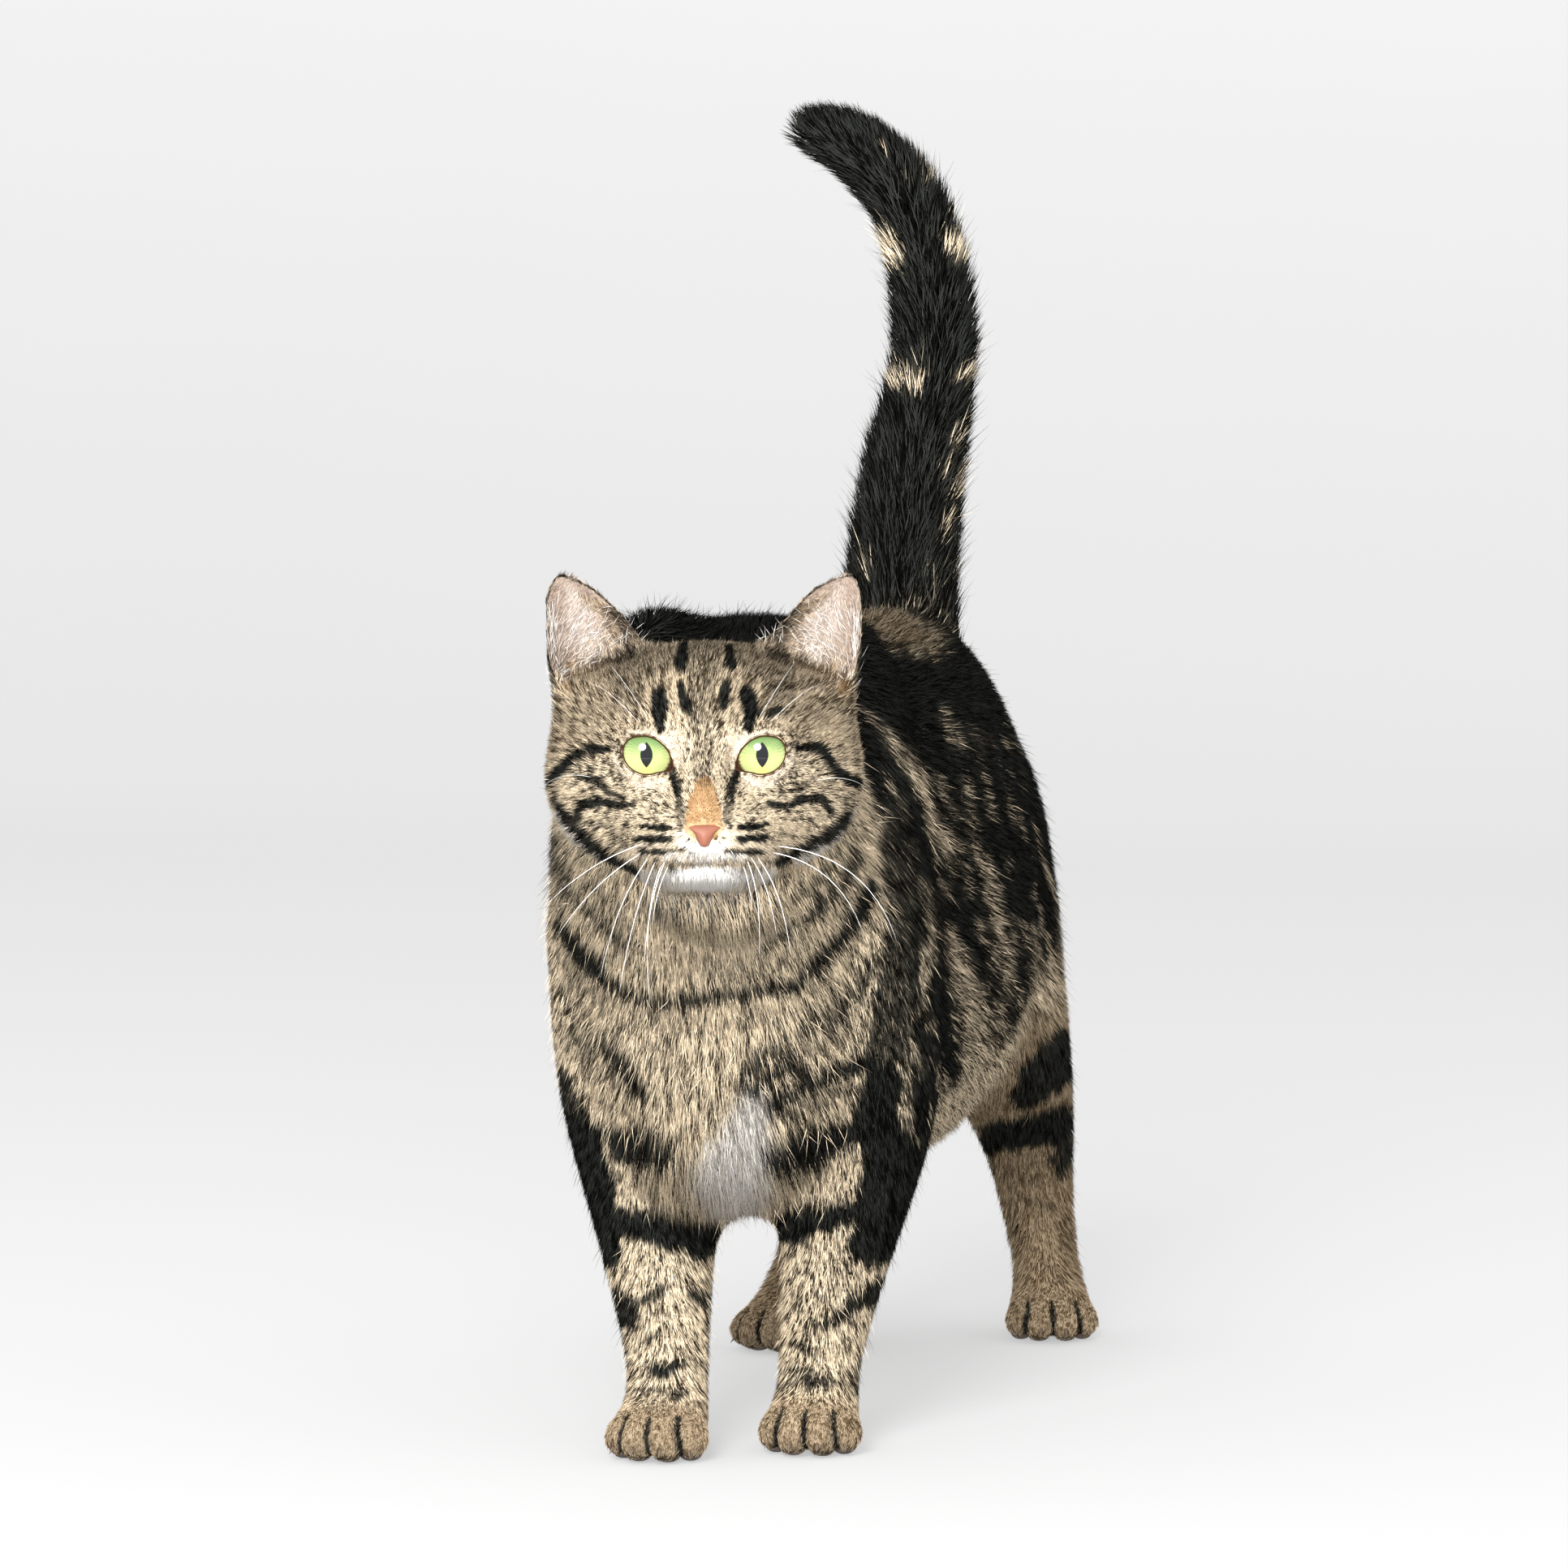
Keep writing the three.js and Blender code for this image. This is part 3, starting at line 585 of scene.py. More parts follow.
# Strokes on the face, for each paint: a strength and then a path of (across, up, half width), in
# the head's frame.
FACE_STROKES = {
    "pale": (
        (0.8, (-10.5, 27, 1.5), (-11, 16, 2.2), (-10, 6, 2.6)),
        (0.8, (9.5, 27, 1.5), (10.4, 16, 2.2), (10, 6, 2.6)),
        (0.7, (-4.9, 27, 0.8), (-2.3, 19.3, 0.9)),
        (0.7, (2.8, 27, 0.8), (1.8, 19.3, 0.9)),
        (0.7, (-49, -8, 2.5), (-45, -13, 3.5), (-41, -10, 2)),
        (0.7, (50, -12, 2), (44.5, -12.5, 3.5)),
        (0.6, (-38, -17, 2.5), (-28, -18.5, 3), (-20, -17, 2)),
        (0.6, (37, -17, 2.5), (28, -18.5, 3), (20, -17, 2)),
        (0.8, (-49, -20, 1.8), (-44, -26.5, 2.0), (-36.4, -33, 2.2), (-26, -38, 2.2)),
        (0.8, (50.4, -19.9, 1.8), (43.5, -27, 2.0), (35, -33, 2.2), (25, -37.5, 2.2)),
        (0.7, (-20, -24, 5), (-8, -32, 4)),
        (0.7, (20, -24, 5), (8, -32, 4)),
        (0.6, (24, 13, 2), (33, 15, 4), (42, 11, 4)),
        (0.6, (-24, 13, 2), (-33, 15, 4), (-42, 11, 4)),
        (0.6, (22, -14, 3), (32, -20, 5), (42, -14, 4), (46, -5, 3)),
        (0.6, (-22, -14, 3), (-32, -20, 5), (-42, -14, 4), (-46, -5, 3)),
    ),
    "black": (
        (1.0, (-14.5, 21.2, 2.4), (-14.7, 16.1, 2.8), (-13.9, 9.7, 1.3)),
        (1.0, (14.2, 21.2, 2.8), (15, 15.5, 2.8), (13.8, 9.7, 1.3)),
        (1.0, (-8, 24.4, 1.4), (-6.4, 19, 1.9), (-5.5, 15.4, 1.4)),
        (1.0, (7.4, 24.4, 1.4), (6.4, 19, 1.9), (5.9, 16.7, 1.4)),
        (1.0, (-6.6, 38, 1.7), (-7.5, 31, 2.2)),
        (1.0, (8.2, 36, 1.7), (8.8, 31, 1.9)),
        (0.5, (-0.7, 38, 7.1), (-0.7, 26, 4.9), (-2.5, 14, 2.9)),
        (0.5, (-0.7, 26, 4.2), (1.4, 14, 2.9)),
        (0.45, (-15, 36, 6), (-24, 27, 6), (-25, 17, 4)),
        (0.45, (15, 36, 6), (24, 27, 6), (25, 17, 4)),
        (0.3, (-38, 14, 4), (-34, 9, 3)),
        (0.3, (38, 14, 4), (34, 9, 3)),
        (0.3, (-33, -1, 2.6), (-24, -9.5, 1.6)),
        (0.3, (33, -1, 2.6), (24, -9.5, 1.6)),
        (0.9, (20.8, 14.8, 1.3), (24, 16, 1.9)),
        (0.5, (-23, 15, 1), (-19, 12, 1.1)),
        (0.6, (-26.5, 4.6, 0.6), (-31.3, 3.6, 1.3)),
        (0.6, (25.8, 5, 0.6), (30.5, 4.2, 1.3)),
        (1.0, (-31.3, 3.6, 1.1), (-37.7, 3.9, 1.9), (-41.6, 1.9, 1.8), (-47.3, -3.9, 1.7),
         (-50, -6.4, 1.4)),
        (1.0, (30.5, 3.9, 1.1), (36.3, 4.5, 1.9), (39.5, 2.6, 2.2), (42.1, -2.6, 1.9),
         (46.6, -6.4, 1.8), (52, -8.4, 1.7)),
        (0.9, (-50.6, -9.7, 1.7), (-48, -14.8, 1.8), (-42.8, -21.2, 1.9), (-37.7, -27, 2.2),
         (-31.3, -31, 1.8), (-22, -36, 1.8)),
        (0.9, (52, -9.7, 1.7), (49.2, -15.4, 1.8), (44, -21.2, 2.2), (39.5, -25, 2.2),
         (32.4, -28.3, 1.8), (23.5, -33, 1.7)),
        (0.8, (-39.6, -5.8, 1.4), (-34.5, -6.2, 1.4), (-31.3, -10.3, 1.3), (-26.8, -11.6, 1.1)),
        (0.5, (24.7, -11, 1), (31, -9, 1.3), (36, -6, 1.1)),
        (0.95, (-41.5, -19, 1.1), (-40.3, -14.2, 1.8), (-34.5, -13.5, 1.8), (-28, -14.2, 1.4),
         (-23, -14.2, 1)),
        (0.95, (20.8, -13.5, 1.1), (26, -14.8, 1.3), (31.1, -12.9, 1.4), (37.6, -12.2, 1.8),
         (41.4, -17, 1.3)),
        (0.5, (-40.3, -19.9, 1.3), (-33.2, -20.6, 1.3), (-29, -22, 1)),
        (0.4, (28, -17, 0.6), (34.4, -15.6, 0.7)),
        (0.4, (31, -20.6, 0.6), (35, -19.9, 0.6)),
        (1.0, (-20.3, -20.6, 0.9), (-12.6, -21.2, 1.4)),
        (1.0, (-21.5, -25, 1.2), (-12, -25, 1.4)),
        (0.9, (-20, -29.2, 1.2), (-13, -29.4, 1)),
        (0.7, (-10.7, -28.6, 0.9), (-6.2, -29.2, 0.7)),
        (1.0, (12, -21.4, 1.2), (20, -20.4, 1.1)),
        (1.0, (11, -25.2, 1.2), (19.3, -24.7, 1.4)),
        (0.9, (7, -29, 0.8), (18, -29.4, 1.2)),
        (0.4, (-0.2, 10, 3.2), (-0.2, 0, 4.2), (-0.2, -5, 3.6)),
        (0.95, (-10.4, -1, 0.8), (-9.6, -6, 1.5), (-8.8, -11, 1.2)),
        (0.95, (10.4, -1, 0.8), (9.4, -6, 1.5), (8.6, -11, 1.2)),
        (0.6, (-8.8, -11, 1.3), (-7.9, -16, 1.6), (-7.4, -20.5, 1.6)),
        (0.6, (8.6, -11, 1.3), (7.7, -16, 1.6), (7.2, -20.5, 1.6)),
    ),
    "cream": (
        (0.55, (-25, 8.6, 0.5), (-17.7, 9.4, 0.9), (-10.4, 6, 1.8), (-7.6, -2.4, 1.5)),
        (0.55, (25.5, 8.8, 0.5), (18.5, 9.4, 0.9), (10.4, 6, 1.8), (7.6, -2.4, 1.5)),
        (0.55, (-29, 1, 1.2), (-27, -3.9, 1.2), (-20.3, -7.4, 1.5), (-12.5, -7.6, 1.5)),
        (0.55, (28.5, 1, 1.2), (26.4, -3.9, 1.2), (18.5, -7.4, 1.5), (12, -7.6, 1.5)),
        (0.5, (-24, -31, 2.5), (-15, -27.5, 3.5), (-9, -24, 2)),
        (0.5, (24, -31, 2.5), (15, -27.5, 3.5), (9, -24, 2)),
    ),
    "tan": (
        (0.9, (-0.2, -8, 3.2), (-0.2, -13, 5.2), (-0.2, -19.5, 6.2)),
    ),
    "white": (
        (0.8, (-7.5, -26.5, 1.2), (-3.5, -28, 1.8), (3.5, -28, 1.8), (7.5, -26.5, 1.2)),
        (0.5, (-13, -31, 1.4), (-5, -31, 2), (5, -31, 2), (13, -31, 1.4)),
        (0.6, (-22, -36, 1.4), (-12, -39, 3.4), (0, -41, 6), (12, -39, 3.4), (22, -36, 1.4)),
        (0.9, (-11, -36.4, 1.8), (0.6, -37.6, 3.2), (12, -36.4, 1.8)),
        (0.5, (-30, -33, 1.2), (-42, -26, 1.4), (-48, -17, 1.2)),
        (0.5, (30, -33, 1.2), (42, -26, 1.4), (49, -17, 1.2)),
    ),
    "pink": (
        (0.6, (-7, -33.6, 0.8), (0, -32.4, 1.0), (7, -33.6, 0.8)),
    ),
}

# Marks on the body are drawn on a board that stands ahead of the cat and a little to its left:
# how far across and up on it one millimetre of x, y and z leads.
BOARD = np.array(((0.963, -0.017), (0.269, 0.060), (0.0, 0.998)))
# Strokes of black on that board: a strength and then a path of (across, up, half width).
BREAST_STROKES = (
    # the necklace
    (1, (-83, 169, 2.6), (-75, 159, 2.6), (-66, 149, 2.8), (-56, 144, 2.4), (-45, 143, 1.4),
     (-30, 145, 1.8), (-15, 147, 1.8), (-4, 149, 2.4), (4, 154, 2.6), (10, 163, 2.8), (17, 171, 3),
     (22, 181, 3.5)),
    # broken lines above it
    (0.85, (-15, 161, 1.2), (-4, 167, 2), (4, 174, 2.2), (12, 182, 2.6), (17, 191, 3)),
    (0.6, (-8, 174, 1), (2, 181, 1.6), (9, 190, 2.2)),
    (0.7, (-81, 181, 2.6), (-73, 173, 2.6), (-63, 164, 2), (-52, 158, 1)),
    (0.5, (-75, 184, 1.6), (-66, 177, 2), (-58, 167, 1.4)),
    (0.7, (-87, 199, 4), (-84, 192, 4), (-80, 184, 3)),
    (0.85, (31, 207, 6), (31, 190, 6.5), (33, 176, 7)),
    # lines below it
    (0.75, (-10, 131, 1), (1, 134, 2), (9, 139, 2.2), (17, 147, 2.6), (22, 157, 3)),
    (0.5, (-82, 157, 2), (-75, 148, 2), (-66, 139, 1.6), (-58, 132, 1)),
    (0.4, (-83, 146, 2.2), (-76, 138, 2.2), (-68, 131, 1.4)),
    (0.55, (-50, 127, 0.8), (-44, 133, 1.2), (-42, 137, 0.8)),
    (0.4, (-37, 129, 0.5), (-37, 121, 1)),
    (0.45, (-36, 109, 0.6), (-27, 110, 1)),
    # whorls on the shoulders
    (0.95, (-70, 129, 2.2), (-62, 123, 3), (-58, 117, 3), (-54, 111, 2)),
    (0.6, (-80, 133, 2.5), (-72, 127, 2.2)),
    (0.95, (-23, 115, 1.4), (-20, 122, 1.6), (-15, 126, 1.6), (-7, 127, 1.6), (-2, 124, 1)),
    (1, (-19, 113, 2.2), (-13, 118, 2.6), (-7, 122, 2.4), (1, 121, 1.8)),
    (1, (-12, 108, 2.4), (-4, 114, 2.6), (4, 117, 2.6), (12, 121, 2.8), (20, 123, 3.5)),
    (0.65, (-7, 106, 1.4), (4, 109, 1.8), (14, 114, 1.8), (21, 115, 2)),
    # the dark edge of the left shoulder
    (0.85, (33, 180, 7), (33, 168, 7.5), (31, 155, 6.5), (29, 141, 8), (27, 129, 8)),
)
LEG_STROKES = {
    "foreleg_left": (
        (1, (-10, 90, 4), (-2, 94, 6), (9, 97, 5), (17, 101, 4)),
        (0.3, (-2, 86, 2), (5, 88, 1.5)),
        (1, (-11, 65, 3.5), (-6, 67, 5.5), (-1, 70, 4.5), (6, 71, 4), (12, 72, 3.5), (16, 74, 3)),
        (1, (25, 116, 7.5), (21, 105, 7), (26, 96, 9), (29, 87, 11), (27, 78, 10.5)),
        (1, (27, 78, 11), (25, 70, 11), (20, 63, 7)),
        (1, (26, 68, 11), (23, 62, 7.5), (19, 60, 3)),
        (0.95, (25, 47, 4.5), (20, 44, 4), (14, 41, 3.5), (10, 38, 2)),
        (0.95, (10, 37, 1.5), (4, 36, 1.5), (0, 37, 1)),
        (0.5, (0, 43, 0.5), (4, 42, 1)),
        (0.5, (9, 52, 1), (15, 51, 1.5)),
        (0.35, (-7, 45, 1.5), (-4, 45, 1.5)),
        (0.9, (-6, 30, 1), (-3, 28, 1.5), (2, 25, 1)),
        (0.95, (-9, 20, 1), (-4, 20, 1.5), (0, 19, 1)),
        (1, (-11, 15, 0.5), (-4, 17, 1), (3, 17, 1.5), (9, 17, 1), (14, 16, 0.5)),
        (0.6, (18, 23, 1.5), (17, 14, 2)),
    ),
    "foreleg_right": (
        (0.9, (-82, 118, 3), (-80, 110, 4), (-78, 99, 7)),
        (1, (-78, 99, 7.5), (-75, 86, 9.5), (-72, 73, 9), (-69, 61, 7)),
        (1, (-69, 100, 2.5), (-61, 96, 5.5), (-54, 94, 6), (-47, 91, 4.5)),
        (0.35, (-66, 84, 1), (-58, 82, 1.5), (-51, 80, 1)),
        (1, (-70, 67, 4.5), (-62, 69, 5.5), (-52, 69, 6), (-42, 67, 6.5), (-35, 64, 7)),
        (1, (-71, 66, 9), (-68, 60, 6)),
        (0.95, (-63, 43, 4), (-62, 39, 5.5), (-61, 37, 3.5)),
        (0.9, (-58, 43, 1.5), (-52, 46, 1.5), (-46, 48, 1)),
        (0.85, (-37, 46, 2), (-33, 43, 2.5)),
        (0.4, (-63, 53, 1), (-59, 53, 1)),
        (0.6, (-59, 35, 0.5), (-53, 38, 1)),
        (0.95, (-54, 30, 1), (-52, 32, 1.5), (-48, 34, 1)),
        (1, (-53, 22, 1), (-47, 22, 2.5), (-41, 23, 1.5), (-38, 24, 0.5)),
        (1, (-61, 15, 0.5), (-55, 16, 1), (-47, 16, 1), (-39, 14, 1)),
        (0.5, (-61, 12, 0.5), (-55, 13, 0.5), (-44, 12, 0.5)),
    ),
    "hindleg_left": (
        (0.95, (80, 101, 6), (86, 108, 9), (95, 115, 11)),
        (1, (64, 85, 1.5), (70, 84, 7), (78, 85, 6.5), (87, 87, 7), (95, 89, 8)),
        (0.9, (92, 75, 2.5), (96, 75, 4), (98, 77, 6)),
        (0.85, (96, 73, 3.5), (95, 68, 2)),
        (0.5, (80, 61, 1.5), (85, 60, 2), (92, 57, 1.5)),
        (0.5, (95, 49, 1), (99, 53, 1.5)),
        (0.55, (95, 42, 0.5), (100, 45, 1.5)),
        (0.45, (77, 49, 1.5), (80, 46, 1.5)),
        (0.4, (73, 55, 1.5), (74, 54, 1.5)),
        (0.5, (86, 35, 0.5), (92, 36, 1)),
        (0.3, (70, 71, 4.5), (78, 69, 3.5), (85, 67, 2)),
        (0.45, (93, 33, 1), (96, 32, 1)),
    ),
}
# Pale strokes on the board, for the black of both flanks and of the tail, and the brown rump.
FLANK_STROKES = (
    (0.7, (20, 239, 0.5), (26, 234, 1), (32, 226, 1.5), (37, 218, 2), (41, 208, 2), (46, 197, 2.5),
     (49, 190, 1.5), (52, 182, 0.5)),
    (0.55, (33, 227, 0.5), (40, 220, 1), (46, 212, 1), (53, 204, 1)),
    (0.8, (48, 242, 1), (51, 236, 1.5), (54, 229, 1)),
    (0.4, (60, 234, 1), (63, 227, 1)),
    (0.45, (55, 215, 1), (57, 204, 1.5), (59, 195, 1.5)),
    (0.75, (59, 195, 1.5), (63, 186, 2.5), (65, 179, 2.5), (67, 169, 2.5), (67, 159, 2), (67, 150, 1)),
    (0.3, (26, 206, 2), (28, 189, 3), (30, 172, 2.5)),
    (0.65, (40, 183, 1), (41, 171, 1.5), (41, 160, 1.5), (39, 148, 1.5), (38, 140, 1)),
    (0.75, (48, 167, 1.5), (51, 159, 3), (55, 148, 5), (58, 137, 6), (60, 126, 6), (61, 112, 6)),
    (0.4, (72, 169, 1.5), (72, 157, 3), (71, 144, 3.5), (69, 132, 2.5), (67, 123, 2)),
    (0.55, (81, 165, 1.5), (84, 150, 2.5), (83, 137, 3), (78, 125, 3), (72, 113, 3)),
    (0.8, (92, 149, 1), (91, 138, 2.5), (87, 127, 3), (81, 116, 3), (72, 107, 3)),
    (0.6, (95, 157, 1), (95, 145, 1.5), (95, 133, 1)),
    (0.25, (20, 142, 1.5), (26, 131, 2), (35, 125, 2.5), (42, 122, 2)),
    (0.35, (35, 195, 1), (35, 183, 1.5), (34, 172, 1)),
    (0.5, (22, 124, 1.5), (26, 122, 2), (30, 124, 1)),
    (0.5, (23, 130, 0.5), (26, 134, 1)),
    (0.7, (29, 102, 2), (31, 104, 2)),
    (0.6, (30, 93, 1.5), (36, 94, 2.5)),
    (0.5, (24, 70, 1), (29, 71, 2)),
    (0.4, (22, 125, 1.5), (24, 123, 2)),
    (0.4, (29, 123, 1), (30, 118, 1.5)),
    (0.9, (92, 153, 1.5), (88, 139, 7), (84, 128, 7), (77, 114, 6.5), (72, 106, 5), (66, 98, 6.5)),
    (0.6, (94, 164, 1.5), (95, 144, 2), (93, 125, 1.5)),
    (0.8, (53, 102, 4.5), (63, 99, 5.5), (70, 93, 5.5)),
    (0.45, (21, 124, 1.5), (24, 126, 1.5)),
)
# The grey fringe of the breast, between the forelegs.
FRINGE = ((1, (-17, 113, 4), (-20, 100, 8), (-25, 84, 12)),)
TAIL_STROKES = (
    (1, (31, 420, 2.5), (33, 414, 3)),
    (1, (53, 419, 2), (59, 417, 3.5)),
    (0.5, (43, 448, 1), (46, 444, 1)),
    (0.7, (32, 464, 1), (34, 460, 1.5)),
    (0.5, (29, 455, 1), (29, 453, 1)),
    (0.5, (38, 444, 0.5), (39, 442, 0.5)),
    (1, (33, 369, 2), (43, 367, 2)),
    (0.85, (57, 369, 1.5), (63, 370, 2)),
    (0.8, (64, 363, 1), (63, 352, 1)),
    (0.7, (57, 349, 1), (56, 342, 1.5)),
    (0.85, (52, 337, 1), (54, 333, 1)),
    (0.6, (60, 337, 1), (57, 326, 2)),
    (0.55, (54, 317, 1.5), (53, 310, 1.5)),
    (0.5, (58, 304, 1), (56, 294, 1)),
    (0.5, (24, 301, 1), (21, 296, 1)),
    (0.5, (45, 299, 1), (51, 291, 1)),
)
BROWN_RUMP = ((0.75, (14, 274, 7), (30, 272, 9), (44, 267, 6)),)
# Strokes inside the ears, with paths of (outwards, up, half width) in the head's frame.
EAR_STROKES = {
    "brown": (
        (0.9, (39, 53, 1), (31, 47, 3), (26, 40, 4.5), (23, 33, 5), (22, 27, 5)),
    ),
    "black": (
        (0.85, (31, 49, 1.5), (25, 42, 3.5), (21, 33, 5)),
    ),
    "tan": (
        (0.8, (42, 32, 2), (42.5, 27, 2.5), (41, 23, 2)),
    ),
    "white": (
        (0.25, (44, 56, 1), (40, 46, 4), (36, 36, 4), (33, 28, 3)),
    ),
}
# The pale throat, as (across, up, half width) in the head's frame.
THROAT = ((-10, -43, 3.5), (10, -43, 3.5))
# The black ridge of the back, as (x, y, z, half width).
BLACK_BACK = ((0, -150, 268, 14), (0, -60, 278, 24), (0, 60, 278, 26), (-6, 150, 262, 20))


def stroked(points, strokes, softness):
    """How strongly some strokes lie on the points."""
    most = np.zeros(len(points))
    for strength, *path in strokes:
        edge = smooth(-softness, softness, path_distance(points, path))
        most = np.maximum(most, strength * (1 - edge))
    return most


def painted(points, strokes, softness):
    """How strongly the strokes of each paint lie on the points."""
    return {paint: stroked(points, strokes.get(paint, ()), softness) for paint in PAINTS}


def lay(paints, paint, mask):
    """Lays a paint wherever the mask is stronger than what is there of it."""
    paints[paint] = np.maximum(paints[paint], mask)


def ear_inside(place, normals):
    """1 on the hollow side of the ears, for points and normals in the head's frame."""
    levels = np.array(EAR_LEVELS)
    side = np.where(place[:, 0] < 0, -1.0, 1.0)
    out = np.stack([place[:, 0] * side, place[:, 1]], 1)
    out -= np.stack([np.interp(place[:, 2], levels[:, 2], levels[:, k]) for k in (0, 1)], 1)
    facing = (unit(out) * np.stack([normals[:, 0] * side, normals[:, 1]], 1)).sum(1)
    return smooth(0.15, -0.25, facing)


def underside(mm, share):
    """1 on the breast and the throat."""
    ahead = smooth(-96, -112, mm[:, 1]) * smooth(230, 190, mm[:, 2])
    return ahead * (1 - part_share(share, "head"))


def mark_trunk(paints, mm, rough, share):
    """The black saddle from behind the ears to the seat, its pale strokes and the brown rump."""
    head, tail = part_share(share, "head"), part_share(share, *TAIL_PARTS)
    forearm = part_share(share, "forearm")
    halves = (mm * np.where(mm[:, :1] < 0, (-1, 1, 1), (1, 1, 1)) + rough) @ BOARD
    trunk = 1 - head * 1.5 - part_share(share, "ear") - part_share(share, "paw") - tail
    # the saddle starts behind the shoulders' front, and ends above the belly
    start = -104 + 24 * smooth(-20, -45, mm[:, 0])
    behind = smooth(start, start + 10, mm[:, 1] + 0.25 * (mm[:, 2] - 170) + rough[:, 0] * 2)
    edge = 98 + 14 * smooth(-60, 20, mm[:, 1]) + 22 * smooth(40, 90, mm[:, 1])
    edge += 4 * ripple(mm, 40, 7)
    low = smooth(edge - 8, edge + 12, mm[:, 2] + 14 * forearm)
    black = np.clip(trunk, 0, 1) * behind * low * (1 - part_share(share, "shank"))
    black *= 1 - forearm * smooth(-20, -45, mm[:, 0])
    # it leaves out the inner sides of the thighs
    seat = smooth(90, 150, mm[:, 1])
    outer = smooth(34 - 26 * seat, 46 + 8 * seat, np.abs(mm[:, 0]))
    outer += smooth(190 - 70 * seat, 215, mm[:, 2])
    black *= np.clip(outer, 0, 1)
    crest = 1 - smooth(-4, 4, path_distance(mm + rough, BLACK_BACK))
    black = np.maximum(black, crest * (1 - tail) * (1 - head))
    pale = 0.8 * stroked(halves, FLANK_STROKES, 2.2) * (1 - tail) * (1 - head) * behind
    # narrow streaks break it up
    waves = (halves[:, 0] + 0.27 * halves[:, 1]) * 2 * math.pi / 8.5 + 1.3 * ripple(mm, 22, 41)
    streaks = smooth(0.35, 0.9, np.sin(waves)) * smooth(245, 215, mm[:, 2])
    streaks *= smooth(0.3, 0.7, 0.5 + 0.5 * ripple(mm, 26, 42))
    black *= (1 - pale) * (1 - 0.5 * streaks)
    lay(paints, "black", black)
    rump = stroked(halves, BROWN_RUMP, 6) * (1 - tail) * smooth(-60, -20, mm[:, 1])
    lay(paints, "brown", rump)
    paints["black"] *= 1 - 0.8 * rump


def mark_breast(paints, mm, place, board, share):
    """The bands of the neck and breast, the grey fringe between the legs and the pale throat."""
    waves = np.linalg.norm(mm - (0, -120, 225), axis=1) + 3 * ripple(mm, 18, 9)
    arcs = smooth(0.0, 0.8, np.sin(waves * math.pi / 6.5)) * 0.36 * underside(mm, share)
    lay(paints, "black", arcs * smooth(98, 122, mm[:, 2]))
    bands = stroked(board, BREAST_STROKES, 1.3) * smooth(-30, -55, mm[:, 1])
    lay(paints, "black", bands * (1 - part_share(share, "head")))
    fringe = stroked(board, FRINGE, 4) * smooth(-75, -95, mm[:, 1]) * part_share(share, "chest")
    lay(paints, "grey", fringe)
    lay(paints, "white", 0.36 * fringe)
    throat = 1 - smooth(-3, 9, path_distance(place[:, [0, 2]], THROAT))
    lay(paints, "white", 0.5 * throat * part_share(share, "neck") * (place[:, 1] < 0))


def mark_legs(paints, mm, board, share):
    """The bands of the legs, painted shade in the grooves between the toes, and the brown of the feet.
    """
    for leg, strokes in LEG_STROKES.items():
        here = share[:, [index for index, node in enumerate(FLESH) if node.startswith(leg)]].sum(1)
        here = np.clip(here * 2 + part_share(share, "chest"), 0, 1)
        lay(paints, "black", stroked(board, strokes, 1.2) * here)
    # the right hind leg has rings that fade downwards
    rings = np.sin((mm[:, 2] + 0.25 * mm[:, 1]) * 2 * math.pi / 23 + 2)
    rings = smooth(0.45, 0.9, rings) * part_share(share, "shank", "thigh")
    lay(paints, "black", rings * smooth(40, 100, mm[:, 2]) * (mm[:, 0] < 0) * 0.9)
    paws = part_share(share, "paw")
    # painted shade in the grooves between the toes
    for leg in PAWS:
        lay(paints, "black", (1 - smooth(0.0, 0.9, toe_gap(mm * MM, leg))) * paws)
    lay(paints, "black", paws * smooth(4, 1.5, mm[:, 2]) * 0.6)
    # the hind shanks are browner: partly their own colour and partly painted shade
    hind = smooth(20, 60, mm[:, 1])
    lay(paints, "brown", 0.85 * paws + 0.9 * hind * part_share(share, "shank"))


def mark_face(paints, place, wobble, share):
    """The stripes and spots of the face, the dark nape and the tan beside the ears."""
    head = part_share(share, "head")
    near = np.flatnonzero(head > 0.02)
    face = painted((place[near] + wobble[near])[:, [0, 2]], FACE_STROKES, 0.6)
    depth, height = place[near, 1], place[near, 2]
    front = smooth(22, 6, depth) * np.clip(head[near] * 1.4, 0, 1)
    # they fade under the jaw, behind the chin
    front *= 1 - 0.85 * smooth(-37, -41, height) * smooth(-38, -28, depth)
    # from the side, only one thin stripe runs back along the lower cheek
    aside = smooth(1.5, 3.5, np.abs(height + 18.9 - 0.432 * depth)) * smooth(-16, -6, depth)
    face["black"] *= 1 - aside * smooth(-8, -10, height)
    for paint, mask in face.items():
        kept = paints[paint][near] * (1 - mask * front * (paint != "pale"))
        paints[paint][near] = np.maximum(kept, mask * front)
    out, up = np.abs(place[:, 0]), place[:, 2]
    nape = smooth(2, 26, place[:, 1]) * smooth(-4, 18, up)
    lay(paints, "black", head * np.clip(0.8 * smooth(26, 36, up) * smooth(14, 24, out) + nape, 0, 1))
    lay(paints, "tan", 0.7 * (head * smooth(40, 46, out) * smooth(18, 24, up)))


